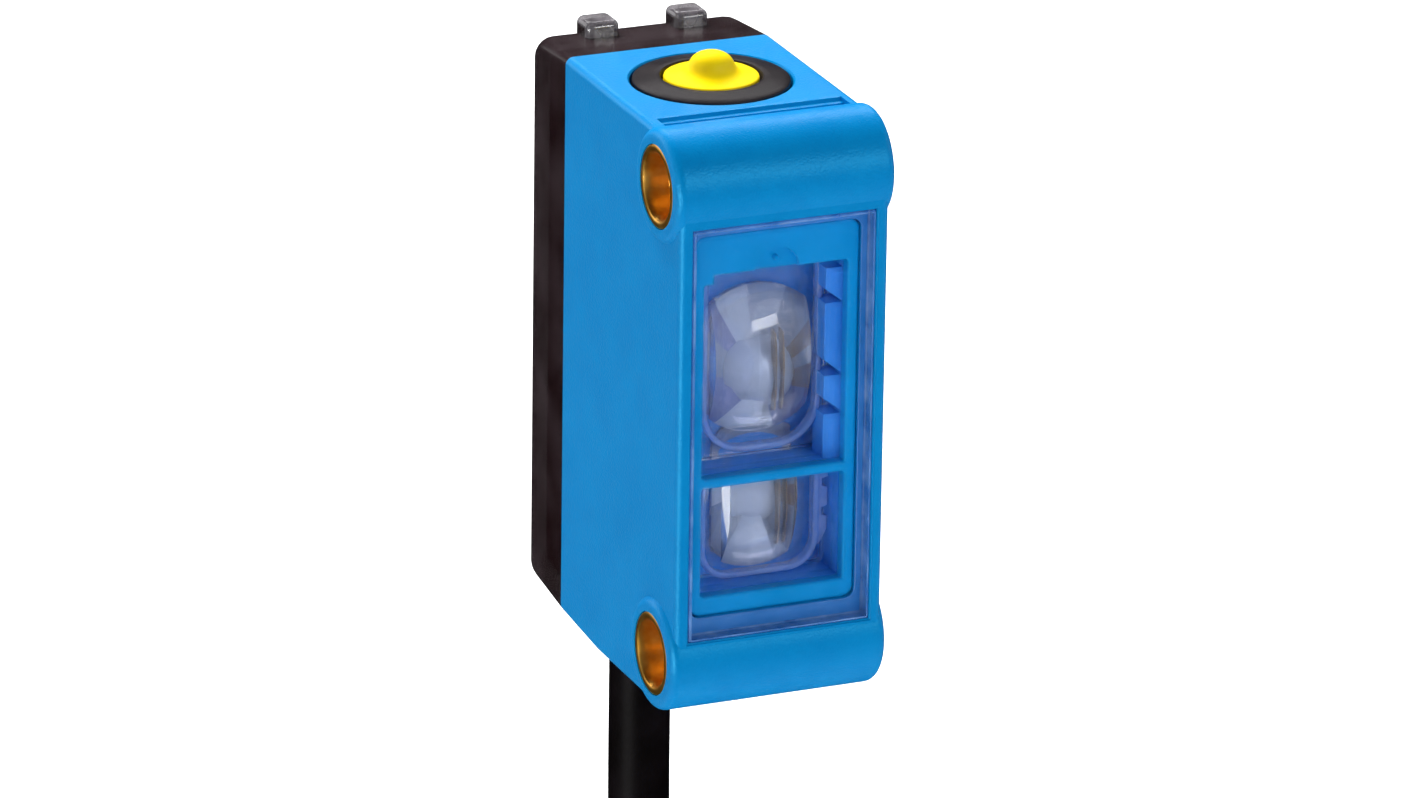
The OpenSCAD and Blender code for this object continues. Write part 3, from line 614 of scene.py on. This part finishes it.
# ---------------------------------------------------------------- conductors
# Four stranded conductors with coloured PVC insulation leave the cable's core. Each
# bends up to its own pad on the board and is soldered there.
wire_r = 0.48
pad_y = board_high.y + 0.45
wires = [("brown", "conductor_brown", (0.16, 0.055, 0.015), -0.75, 0, (-3.9, 15.6, -8), (-3.5, 1.7)),
         ("white", "conductor_white", (0.75, 0.75, 0.72), 0, 0.75, (0.2, 16.4, -7.4), (0.1, -8.4)),
         ("blue", "conductor_blue", (0.02, 0.07, 0.42), 0.75, 0, (3.2, 15.9, -8.2), (3.4, -6.6)),
         ("black", "conductor_black", (0.012, 0.012, 0.012), 0, -0.75, (-1.4, 14.6, -8.2), (-1.6, -7.0))]
for colour_name, node, colour, dx, dy, top, pad in wires:
    route = [(dx, exit_y + dy, jacket_top - 0.4), (dx, exit_y + dy, jacket_top + 0.7),
             (top[0], top[1], top[2] - 1), top, (pad[0], pad_y + 1.4, pad[1] + 0.3),
             (pad[0], pad_y + 0.5, pad[1]), (pad[0], pad_y, pad[1])]
    wire = cord_curve("wire_" + colour_name, smooth_route(route, 3), wire_r)
    wire.data.materials.append(finish("pvc_" + colour_name, colour, 0.4, patch=1, grain=0.1, depth=0.003))
    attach(wire, "sensor")
    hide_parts(node)
dressed("cable_crimp", tinned_steel)


# ---------------------------------------------------------------- optics carrier
# A blue moulding carries both lenses. Its front plate has an opening for each lens,
# with a thin bar between, and saw-toothed light traps on one wall of the tunnels.
carrier_low, carrier_high = (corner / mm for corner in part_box("optics_carrier"))
upper_low, upper_high = (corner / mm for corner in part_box("upper_insert"))
half = (upper_low.z + upper_high.z) / 2
plate_y, plate_back = carrier_low.y, carrier_low.y + 0.8
plate_x, plate_z = carrier_high.x, carrier_high.z
open_x = plate_x - 0.6
receiver_top, bar_top, bar_low, emitter_low = 8.13, -2.85, -3.4, -9.3
step_x, step_z = -3.4, receiver_top - 0.5
upper_hole = [(-open_x, bar_top), (open_x, bar_top), (open_x, receiver_top), (step_x, receiver_top),
              (step_x, step_z), (-open_x, step_z)]
upper_hole = rounded(upper_hole, [0.1, 0.1, 0.1, 0.08, 0.08, 0.1], 2)
lower_hole = rounded(rectangle(-open_x, emitter_low, open_x, bar_low), 0.1, 2)
plate = moulding(rounded(rectangle(-plate_x, -plate_z, plate_x, plate_z), 0.55), plate_y, plate_back, 0.16,
                 "Y", [upper_hole, lower_hole])
gate_r = 1.2
gate = [(gate_r * math.cos(math.radians(a)), receiver_top + gate_r * math.sin(math.radians(a)))
        for a in range(0, 181, 10)]
gate = [(gate_r, receiver_top - 0.5)] + gate + [(-gate_r, receiver_top - 0.5)]
shaped(plate, "DIFFERENCE", moulding(gate, plate_y - 1, plate_y + 0.3, 0.08, axis="Y"))
pip = [(0, plate_y + 0.08), (0.1, plate_y + 0.1), (0.16, plate_y + 0.2), (0.16, plate_y + 0.5),
       (0, plate_y + 0.5)]
shaped(plate, "UNION", turned(pip, "Y", (0, 0, receiver_top + 0.55), 20))
carrier_blue = finish("carrier_blue", (0.0, 0.225, 0.57), 0.42, patch=3, grain=0.12, depth=0.003,
                      Specular_IOR_Level=0.3, Specular_Tint=(0.10, 0.70, 1.0, 1))
piece(plate, "carrier_plate", "sensor", carrier_blue, ["optics_carrier"])

tunnel_back = carrier_high.y
tunnel_z = 9.6
ceiling, floor_level = 9.0, emitter_low
receiver_bay = rectangle(-open_x, bar_top, open_x, ceiling)
emitter_bay = rectangle(-open_x, floor_level, open_x, bar_low)
walls = moulding(rectangle(-plate_x, -tunnel_z, plate_x, tunnel_z), plate_back - 0.01, tunnel_back, axis="Y",
                 holes=[receiver_bay, emitter_bay])
trap_reach, trap_back = 0.9, 0.45
traps = []
for top_z, wall_z, lip_z in ((7.5, 5.65, 6.35), (5.6, 1.75, 2.5), (1.65, -0.3, 0.4), (-0.45, -2.9, -2.9)):
    tooth = [(open_x + 0.05, wall_z), (open_x + 0.05, top_z), (open_x - trap_reach, top_z),
             (open_x - trap_reach, lip_z)]
    traps.append(moulding(tooth, plate_back - 0.005, trap_back, 0.05, "Y", ends=(True, False)))
tunnel_violet = finish("tunnel_violet", (0.03, 0.21, 0.72), 0.35, other=(0.05, 0.26, 0.80), patch=3,
                       Specular_IOR_Level=0.3, Specular_Tint=(0.25, 0.55, 1.0, 1))
piece(gathered([walls] + traps), "light_tunnels", "sensor", tunnel_violet)


# ---------------------------------------------------------------- lenses
# Two lenses of clear acrylic sit in the tunnels. Each is a dome with its sides cut
# flat, moulded in one with a flange and a raised rim that runs round the dome.
lens_y = plate_back + 1.6
lens_r, dome_r, flange_t = 4.0, 6.0, 0.8
apex_y = lens_y - (dome_r - math.sqrt(dome_r ** 2 - lens_r ** 2))
dome_reach, dome_steps = math.degrees(math.asin(lens_r / dome_r)), 16


def cut_dome(z, half_w):
    """A dome that faces forwards, with both sides cut off flat."""
    angles = [math.radians(dome_reach * k / dome_steps) for k in range(dome_steps + 1)]
    arc = [(dome_r * math.sin(a), apex_y + dome_r - dome_r * math.cos(a)) for a in angles]
    dome = turned(arc + [(lens_r, lens_y + 0.3), (0, lens_y + 0.3)], "Y", (0, 0, z), 96)
    sides = rectangle(-half_w, z - 2 * lens_r, half_w, z + 2 * lens_r)
    trim = moulding(sides, apex_y - 1, lens_y + 1, axis="Y")
    return shaped(dome, "INTERSECT", trim)


clear_acrylic = finish("clear_acrylic", (0.86, 0.90, 1.0), 0.03, other=(0.92, 0.95, 1.0), patch=3, wear=0.02,
                       Transmission_Weight=1.0, IOR=1.49, Alpha=0.92)
frosted_acrylic = finish("frosted_acrylic", (0.20, 0.36, 0.85), 0.22, other=(0.30, 0.46, 0.95), patch=1.2,
                         Alpha=0.45)
receiver_z, emitter_z = 2.5, -4.9
rim_x, rim_t = 3.32, 0.32
tab_in, tab_out, notch_x = rim_x - 0.1, open_x - 0.1, open_x - 0.42
notched_tab = [(tab_in, -3.6), (tab_in, -8.0), (rim_x + 0.1, -8.0), (tab_out, -7.2)]
for z in (-6.2, -4.6):
    notched_tab += [(tab_out, z - 0.3), (notch_x, z - 0.2), (notch_x, z + 0.2), (tab_out, z + 0.3)]
notched_tab.append((tab_out, -3.6))
for name, node, z, half_w, low_z, high_z, rim_low, rim_high, corner in (
        ("receiver_optic", "receiver_lens", receiver_z, 2.65, bar_top + 0.05, ceiling - 0.05, -2.3, 8.9, 2.4),
        ("emitter_optic", "emitter_lens", emitter_z, 1.85, floor_level + 0.05, bar_low - 0.05,
         -9.2, -3.5, 1.7)):
    optic = moulding(rounded(rectangle(-open_x + 0.06, low_z, open_x - 0.06, high_z), 0.3), lens_y,
                     lens_y + flange_t, 0.08, "Y")
    rim = rounded(rectangle(-rim_x, rim_low, rim_x, rim_high), [corner, corner, 0.3, 0.3], 8)
    collar = moulding(rim, lens_y - 0.7, lens_y - 0.01, 0.12, "Y", [inset(rim, rim_t)])
    if z == emitter_z:
        tab = moulding(notched_tab, lens_y - 0.55, lens_y - 0.01, 0.06, "Y")
        collar = gathered([collar, tab])
    piece(collar, name.replace("optic", "rim"), "sensor", frosted_acrylic)
    dome = cut_dome(z, half_w)
    cap = moulding(rectangle(-4, low_z, 4, high_z), apex_y - 1, lens_y + 1, axis="Y")
    shaped(optic, "UNION", shaped(dome, "INTERSECT", cap))
    piece(optic, name, "sensor", clear_acrylic, [node])


# ---------------------------------------------------------------- light funnels
# Behind each lens a small funnel with flat satin facets guides the light. A round window
# and two thin fins stand in it, and a backing plate fills the tunnel round its rim. The facets
# and the window are coloured in lighter and darker tones, one per facet: painted glow, painted
# highlights and painted shade seen through the lens.
# Tones of painted light and shade: white is a painted glow and highlight; lilac, grey and violet paint shade
# from light to deep; brown is for the brownish streaks.
painted_light_tones = {"white": (0.44, 0.51, 0.66), "grey": (0.20, 0.24, 0.35), "lilac": (0.30, 0.36, 0.50),
         "violet": (0.13, 0.16, 0.37), "brown": (0.17, 0.13, 0.12)}
facet_finish_with_painted_light = {}
for tone, colour in painted_light_tones.items():
    facet_finish_with_painted_light[tone] = finish("facet_" + tone, colour, 0.25, patch=0.9, wear=0.08, Specular_IOR_Level=0.6)
funnel_y, funnel_t = lens_y + flange_t + 0.03, 0.25


def funnel(name, z, outer, cut, throat, throat_x, throat_z, facets):
    """A funnel with one facet from each listed angle to the next, its round rim cut off at both sides."""
    places = []
    for k, (angle, depth, tone) in enumerate(facets):
        last = facets[(k + 1) % len(facets)][0]
        last += 360 if last <= angle else 0
        steps = max(1, round((last - angle) / 12))
        places += [(angle + (last - angle) * i / steps, depth, tone) for i in range(steps)]
    points, faces = [], []
    for angle, depth, _ in places:
        c, w = math.cos(math.radians(angle)), math.sin(math.radians(angle))
        far = min(outer, cut / max(0.01, abs(c)))
        inner_x, inner_z = throat_x + throat * c, throat_z + throat * w
        edge_x, edge_z = far * c, z + far * w
        points += [(edge_x, funnel_y, edge_z), (inner_x, funnel_y + depth, inner_z),
                   (inner_x, funnel_y + depth + funnel_t, inner_z), (edge_x, funnel_y + funnel_t, edge_z)]
    count = len(places)
    for k in range(count):
        for i in range(4):
            a, b = 4 * k + i, 4 * k + (i + 1) % 4
            after = 4 * ((k + 1) % count)
            faces.append((a, b, after + (i + 1) % 4, after + i))
    part = piece(rough_solid(points, faces), name, "sensor", facet_finish_with_painted_light["white"], crease=20)
    names = list(painted_light_tones)
    for tone in names[1:]:
        part.data.materials.append(facet_finish_with_painted_light[tone])
    # Each facet takes the painted light or shade tone listed for its angle.
    for face in part.data.polygons:
        middle = face.center / mm
        angle = math.degrees(math.atan2(middle.z - z, middle.x)) % 360
        owner = max(facets, key=lambda facet: -((angle - facet[0]) % 360))
        face.material_index = names.index(owner[2])


funnel("receiver_funnel", receiver_z, 3.9, 3.1, 0.9, 0.7, 1.3,
       [(8, 1.2, "grey"), (52, 1.3, "lilac"), (96, 1.2, "white"), (124, 1.3, "violet"), (158, 1.3, "grey"),
        (216, 1.0, "violet"), (250, 0.7, "white"), (286, 1.2, "violet"), (318, 1.3, "brown"),
        (336, 1.2, "grey"), (350, 1.3, "brown")])
funnel("emitter_funnel", emitter_z, 3.9, 2.2, 0.8, 0.3, -5.3,
       [(34, 1.2, "grey"), (150, 0.9, "white"), (208, 1.2, "grey"), (244, 0.6, "lilac"), (300, 1.2, "grey"),
        (334, 1.0, "brown"), (350, 1.2, "grey"), (362, 1.0, "brown")])
# The round windows take the white tone: a painted glow.
for name, x, z, bulge_r in (("receiver_window", 0.7, 1.3, 1.7), ("emitter_window", 0.3, -5.3, 1.8)):
    bulge_back = funnel_y + funnel_t + bulge_r
    glow = [(bulge_r * math.sin(math.radians(a)), bulge_back - bulge_r * math.cos(math.radians(a)))
            for a in range(0, 91, 9)]
    bulge = turned(glow + [(0, bulge_back)], "Y", (x, 0, z), 48)
    piece(bulge, name, "sensor", facet_finish_with_painted_light["white"])
facet_finish_with_painted_light["gold"] = finish("facet_gold", (0.20, 0.14, 0.09), 0.4, patch=0.8, Specular_IOR_Level=0.6)
for name, z, places in (("receiver_fins", receiver_z, (1.0, 1.35)), ("emitter_fins", emitter_z, (1.25, 1.6))):
    fins = [moulding(rectangle(x - 0.04, z - 2.7, x + 0.04, z + 0.9), funnel_y + 0.02, funnel_y + 0.5,
                     axis="Y") for x in places]
    piece(gathered(fins), name, "sensor", facet_finish_with_painted_light["gold"])
backing_y, backing_t, hole_r = funnel_y + 0.3, 0.4, 3.85
backing = []
for bay, z, cut in ((receiver_bay, receiver_z, 3.0), (emitter_bay, emitter_z, 2.1)):
    wall = moulding(bay, backing_y, backing_y + backing_t, axis="Y")
    round_hole = turned([(0, 0), (hole_r, 0), (hole_r, 5), (0, 5)], "Y", (0, 0, z), 64)
    sides = moulding(rectangle(-cut, z - 5, cut, z + 5), -1, 6, axis="Y")
    backing.append(shaped(wall, "DIFFERENCE", shaped(round_hole, "INTERSECT", sides)))
piece(gathered(backing), "lens_backing", "sensor", tunnel_violet)


# ---------------------------------------------------------------- housing
# The slim case is moulded in blue ABS. A round boss runs across the front at the top
# and bottom for the inserts, and the pane's pocket lies between them.
house_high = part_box("housing")[1] / mm
side_x = 5.75
boss_r, boss_end = 3.0, house_high.x
front_y, seam_y = -2.75, house_high.y
top_z, bottom_z = half + 2.8, -half - 2.95
lift = 0.4
top_meet = math.sqrt(boss_r ** 2 - (top_z - half) ** 2)
low_meet = math.sqrt(boss_r ** 2 - (bottom_z + half) ** 2)
side_view = [(front_y, -half), (0, -half), (low_meet, bottom_z), (8, bottom_z), (seam_y, bottom_z + lift),
             (seam_y + 2, bottom_z + lift * 1.4), (seam_y + 2, top_z), (top_meet, top_z), (0, half),
             (front_y, half)]
case = moulding(side_view, -side_x, side_x, 0.42, "X", steps=5)
shaped(case, "DIFFERENCE", moulding(rectangle(-9, -40, 9, 40), seam_y, seam_y + 5, axis="Y"))
cheek = 0.65
shoulder = [(1.95, 14.9), (1.95, 15.17), (2.0, 15.25), (2.2, 15.29), (2.27, 15.36), (2.34, 15.45),
            (2.48, top_z)]
trench = [(0.2, 14.9)] + shoulder + [(2.48, 17), (0.2, 17)]
shaped(case, "DIFFERENCE", moulding(trench, -side_x + cheek, side_x - cheek, 0, "X"))
low_trench = [(y, -z - 0.15) for y, z in trench]
shaped(case, "DIFFERENCE", moulding(low_trench, -side_x + cheek, side_x - cheek, 0, "X"))
rim_r = 0.5
boss_arc = [(boss_r - rim_r + rim_r * math.sin(math.radians(a)),
             boss_end - rim_r + rim_r * math.cos(math.radians(a))) for a in range(0, 91, 15)]
boss_side = [(0, boss_end)] + boss_arc
for z in (-half, half):
    boss = turned(boss_side + [(r, -x) for r, x in reversed(boss_side)], "X", (0, 0, z), 128)
    shaped(case, "UNION", boss)
pane_low, pane_high = (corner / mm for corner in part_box("window_seal"))
pocket = rectangle(pane_low.x - 0.05, pane_low.z - 0.05, pane_high.x + 0.05, pane_high.z + 0.05)
flare = 0.1
mouth = moulding(inset(pocket, -flare), front_y - 1, front_y + flare, flare, "Y", ends=(False, True))
shaped(case, "DIFFERENCE", mouth)
shaped(case, "DIFFERENCE", moulding(pocket, front_y - 1, plate_y, axis="Y"))
bay_x = pane_high.x - 0.4
play = 0.05
plate_bay = rectangle(-bay_x, -plate_z - play, bay_x, plate_z + play)
shaped(case, "DIFFERENCE", moulding(plate_bay, plate_y - 0.1, plate_back, axis="Y"))
tunnel_bay = rectangle(-bay_x, -tunnel_z - play, bay_x, tunnel_z + play)
shaped(case, "DIFFERENCE", moulding(tunnel_bay, plate_back - 0.1, 4, axis="Y"))
wall_t, bottom_t, cavity_top = 1, 1.4, 12.8
cavity = rounded(rectangle(-side_x + wall_t, bottom_z + bottom_t, side_x - wall_t, cavity_top), 0.5)
shaped(case, "DIFFERENCE", moulding(cavity, boss_r + 0.4, seam_y + 1, axis="Y"))
button_y = (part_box("button_ring")[0].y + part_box("button_ring")[1].y) / 2 / mm
ring_low, ring_high = (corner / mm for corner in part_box("button_ring"))
seat_r, seat_z = (ring_high.x - ring_low.x) / 2 + 0.1, ring_low.z
throat_r, throat_low = 3.15, 12.5
seat = [(0, throat_low), (throat_r, throat_low), (throat_r, seat_z), (seat_r, seat_z), (seat_r, top_z - 0.16),
        (seat_r + 0.04, top_z - 0.07), (seat_r + 0.13, top_z), (seat_r + 0.4, top_z + 0.1),
        (seat_r + 0.4, top_z + 2), (0, top_z + 2)]
shaped(case, "DIFFERENCE", turned(seat, "Z", (0, button_y, 0), 96))
insert_r = (upper_high.y - upper_low.y) / 2
for z in (-half, half):
    bore = turned([(0, -9), (insert_r, -9), (insert_r, 9), (0, 9)], "X", (0, 0, z), 72)
    shaped(case, "DIFFERENCE", bore)
case_blue = finish("case_blue", (0.0, 0.225, 0.57), 0.33, other=(0.0, 0.245, 0.60), patch=2.2, grain=0.11,
                   depth=0.024, wear=0.04, Specular_IOR_Level=0.32, Specular_Tint=(0.10, 0.70, 1.0, 1))
piece(case, "moulded_case", "sensor", case_blue, ["housing"])


# ---------------------------------------------------------------- inserts
# Two turned brass bushes are moulded into the bosses. Each has a bell-shaped mouth
# at both ends and an M3 thread of 0.5 mm pitch between.
core_r, m3_pitch, m3_depth = 1.25, 0.5, 0.26
face_r, mouth_r, mouth_depth = insert_r, 1.78, 1.3
insert_end = boss_end
around = 40
brass = finish("insert_brass", (0.80, 0.38, 0.05), 0.34, other=(0.88, 0.48, 0.10), patch=0.7, grain=0.06,
               depth=0.0015, Metallic=1.0)
for name, node, z in (("upper_bush", "upper_insert", half), ("lower_bush", "lower_insert", -half)):
    mouth = [(face_r, 0.16), (face_r - 0.04, 0.05), (face_r - 0.14, 0), (mouth_r + 0.12, 0),
             (mouth_r + 0.03, 0.05), (mouth_r - 0.04, 0.18), (mouth_r - 0.12, 0.5), (mouth_r - 0.2, 0.9),
             (mouth_r - 0.3, mouth_depth)]
    rings = [[(r, -insert_end + d)] * around for r, d in mouth]
    samples = 8
    inner_len = 2 * (insert_end - mouth_depth)
    for j in range(int(inner_len / m3_pitch * samples) + 1):
        x = -insert_end + mouth_depth + j * m3_pitch / samples
        ring = []
        for k in range(around):
            phase = (x / m3_pitch + k / around) % 1
            ring.append((core_r + m3_depth * max(0, 1 - abs(phase - 0.5) / 0.44), x))
        rings.append(ring)
    rings += [[(r, insert_end - d)] * around for r, d in reversed(mouth)]
    points, faces = [], []
    for ring in rings:
        for k, (r, x) in enumerate(ring):
            a = 2 * math.pi * k / around
            points.append((x, r * math.cos(a), z + r * math.sin(a)))
    for j in range(len(rings)):
        for k in range(around):
            a, b = j * around + k, j * around + (k + 1) % around
            jump = ((j + 1) % len(rings) - j) * around
            faces.append((a, b, b + jump, a + jump))
    piece(rough_solid(points, faces), name, "sensor", brass, [node])


# ---------------------------------------------------------------- front pane
# A polished pane of clear acrylic lies flush in its pocket, on a thin elastic bead
# of violet adhesive that runs all round behind its edge. Its edge faces carry a half-clear blue
# finish: painted reflection of the blue interior and painted light along the edge, in place of
# the refraction there.
seal_in = rounded(plate_bay, 0.6)
bead = moulding(rounded(rectangle(pane_low.x, pane_low.z, pane_high.x, pane_high.z), 0.1), pane_low.y + 0.01,
                pane_high.y - 0.01, 0.04, "Y", [seal_in])
piece(bead, "adhesive_bead", "sensor",
      finish("violet_adhesive", (0.01, 0.16, 0.50), 0.3, other=(0.03, 0.20, 0.58), patch=2), ["window_seal"])
glass_low, glass_high = (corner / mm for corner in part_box("front_window"))
pane = moulding(rounded(rectangle(glass_low.x, glass_low.z, glass_high.x, glass_high.z), 0.12), glass_low.y,
                glass_high.y - 0.01, 0.13, "Y")
pane_acrylic = finish("pane_acrylic", (0.90, 0.94, 1.0), 0.015, other=(0.94, 0.97, 1.0), patch=5, wear=0.01,
                      Transmission_Weight=1.0, IOR=1.49, Alpha=0.14)
piece(pane, "clear_pane", "sensor", pane_acrylic, ["front_window"])
# The edge faces get a painted reflection and painted light strip in half-clear blues.
pane.data.materials.append(finish("pane_edge_painted_reflection", (0.04, 0.20, 0.60), 0.3, other=(0.24, 0.46, 0.88), patch=1.6,
                                  grain=0.06, depth=0.004, Specular_IOR_Level=0.25, Alpha=0.5))
# Faces that don't face forwards or backwards take the painted edge reflection.
for face in pane.data.polygons:
    face.material_index = int(abs(face.normal.y) < 0.97)


# ---------------------------------------------------------------- teach button
# A yellow elastomer cap with a bell-shaped dome presses a snap switch on a small
# board. A black seal ring round it holds its flange down in the housing.
dressed("switch_body", chip_resin)
dressed("switch_cover", tinned_steel)
dressed("switch_plunger", finish("white_acetal", (0.8, 0.8, 0.77), 0.35, patch=0.5))
cap_low, cap_high = (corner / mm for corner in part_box("teach_button"))
ring_r, ring_in = (ring_high.x - ring_low.x) / 2, 2.62
ring_profile = [(ring_in, seat_z + 0.02), (ring_r - 0.05, seat_z + 0.02), (ring_r, seat_z + 0.1),
                (ring_r, top_z - 0.12), (ring_r - 0.03, top_z), (ring_r - 0.12, top_z + 0.06),
                (ring_r - 0.5, top_z + 0.1), (ring_in + 0.45, top_z + 0.22), (ring_in + 0.2, top_z + 0.25),
                (ring_in + 0.06, top_z + 0.22), (ring_in, top_z + 0.12)]
seal = turned(ring_profile, "Z", (0, button_y, 0), 96, closed=True)
piece(seal, "seal_ring", "sensor",
      finish("ring_rubber", (0.014, 0.011, 0.013), 0.38, other=(0.024, 0.020, 0.022), patch=1.5, grain=0.1,
             depth=0.004, Specular_IOR_Level=0.13), ["button_ring"])
dome_top = cap_high.z
cap_r = 2.5
flange_r, flange_low, flange_top = (cap_high.x - cap_low.x) / 2, ring_low.z - 0.55, ring_low.z - 0.05
stem_low = cap_low.z
cap_profile = [(0, stem_low), (0.9, stem_low), (1.0, stem_low + 0.1), (1.0, flange_low),
               (flange_r - 0.05, flange_low), (flange_r, flange_low + 0.05), (flange_r, flange_top - 0.05),
               (flange_r - 0.05, flange_top), (cap_r, flange_top), (cap_r, top_z + 0.12),
               (cap_r - 0.04, top_z + 0.20), (cap_r - 0.16, top_z + 0.25), (1.95, top_z + 0.32),
               (1.6, top_z + 0.42), (1.4, top_z + 0.53), (1.26, top_z + 0.68),
               (1.17, top_z + 0.86), (1.06, dome_top - 0.42), (0.87, dome_top - 0.23), (0.6, dome_top - 0.09),
               (0.3, dome_top - 0.02), (0, dome_top)]
cap = turned(cap_profile, "Z", (0, button_y, 0), 96)
round_cap = cap.modifiers.new("soften", "SUBSURF")
round_cap.levels = round_cap.render_levels = 1
yellow = finish("teach_yellow", (0.93, 0.66, 0.0), 0.5, other=(0.98, 0.73, 0.0), patch=1.2, grain=0.14,
                depth=0.006, Specular_IOR_Level=0.15)
piece(cap, "teach_cap", "button", yellow, ["teach_button"], crease=60)


# ---------------------------------------------------------------- rear cover
# A smoked translucent polycarbonate cover is bonded to the seam. It leans in towards
# its rear, has round rear edges, and carries two raised indicator windows.
cover_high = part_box("rear_cover")[1] / mm
rear_y = cover_high.y
cover_draft, top_fall, low_rise = 0.2, 0.2, 0.2
corner_front, corner_rear = 0.42, 0.9


def cover_section(y, t):
    """The cover's outline at one depth, t inside its outer face."""
    share = (y - seam_y) / (rear_y - seam_y)
    half_w = side_x - cover_draft * share - t
    high = top_z - top_fall * share - t
    low = bottom_z + lift + low_rise * share + t
    last = rear_y - t

    def drop(radius):
        radius = max(0.15, radius - t)
        over = min(radius, max(0, y - (last - radius)))
        return radius - math.sqrt(max(0, radius ** 2 - over ** 2))

    half_w -= drop(0.9)
    high -= drop(1.8)
    low += drop(1.2)
    corner = max(0.12, corner_front + (corner_rear - corner_front) * share - t * 0.4)
    return [(x, y, z) for x, z in rounded(rectangle(-half_w, low, half_w, high), corner, 5)]


def cover_skin(first, t):
    """Rings of points from the seam to the rear face."""
    last = rear_y - t
    depths = [first, seam_y + 1.2, seam_y + 2.6, last - 1.9]
    depths += [last - 1.8 * (1 - math.sin(math.radians(a))) for a in (8, 18, 28, 38, 48, 58, 66, 74, 82, 90)]
    return [cover_section(y, t) for y in depths]


cover_t = 0.8
outer, inner = cover_skin(seam_y, 0), cover_skin(seam_y, cover_t)
points, faces = [], []
for ring in outer + inner[::-1]:
    points += ring
n = len(outer[0])
count = len(outer + inner)
for j in range(count):
    if j == len(outer) - 1:
        faces.append([j * n + i for i in range(n)])
        faces.append([(j + 1) * n + i for i in range(n)])
        continue
    for i in range(n):
        a, b = j * n + i, j * n + (i + 1) % n
        jump = ((j + 1) % count - j) * n
        faces.append((a, b, b + jump, a + jump))
cover = rough_solid(points, faces)
bump_y, bump_w = rear_y - 1.85, 0.93
window_x = 2.5
for x in (-window_x, window_x):
    plan = rounded(rectangle(x - bump_w, bump_y - bump_w, x + bump_w, bump_y + bump_w), 0.42)
    bump = moulding(plan, top_z - 0.6, cover_high.z, 0.34, "Z", ends=(False, True), steps=5)
    shaped(cover, "UNION", bump)
    hollow = moulding(inset(plan, 0.4), 0, cover_high.z - 0.45, 0.15, "Z", ends=(False, True))
    shaped(cover, "DIFFERENCE", hollow)
grommet_r = (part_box("cable_grommet")[1].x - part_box("cable_grommet")[0].x) / 2 / mm
exit_hole = [(0, -20), (grommet_r, -20), (grommet_r, grommet_low + 3), (0, grommet_low + 3)]
shaped(cover, "DIFFERENCE", turned(exit_hole, "Z", (0, exit_y, 0), 48))
smoked = finish("smoked_polycarbonate", (0.012, 0.005, 0.006), 0.22, other=(0.032, 0.021, 0.024), patch=3.4,
                wear=0.06, Specular_IOR_Level=0.19, Alpha=0.94)
piece(cover, "smoked_shell", "sensor", smoked, ["rear_cover"])
cover.data.materials.append(finish("indicator_window", (0.085, 0.075, 0.085), 0.16, other=(0.20, 0.18, 0.20),
                                   patch=0.8, Specular_IOR_Level=0.8, Alpha=0.75))
for face in cover.data.polygons:
    face.material_index = int(face.center.z / mm > top_z + 0.04)


# ---------------------------------------------------------------- grommet
# A soft black grommet is moulded round the cable where it leaves the cover. It has a
# small collar below the cover's underside.
grommet_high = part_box("cable_grommet")[1].z / mm
collar = turned([(cable_r, grommet_low), (cable_r + 0.25, grommet_low), (cable_r + 0.42, grommet_low + 0.08),
                 (grommet_r, grommet_low + 0.22), (grommet_r, grommet_high - 0.15),
                 (grommet_r - 0.1, grommet_high), (cable_r, grommet_high)],
                "Z", (0, exit_y, 0), 48, closed=True)
piece(collar, "moulded_grommet", "sensor",
      finish("grommet_elastomer", (0.014, 0.013, 0.014), 0.5, patch=1, grain=0.1, depth=0.004,
             Specular_IOR_Level=0.2), ["cable_grommet"])
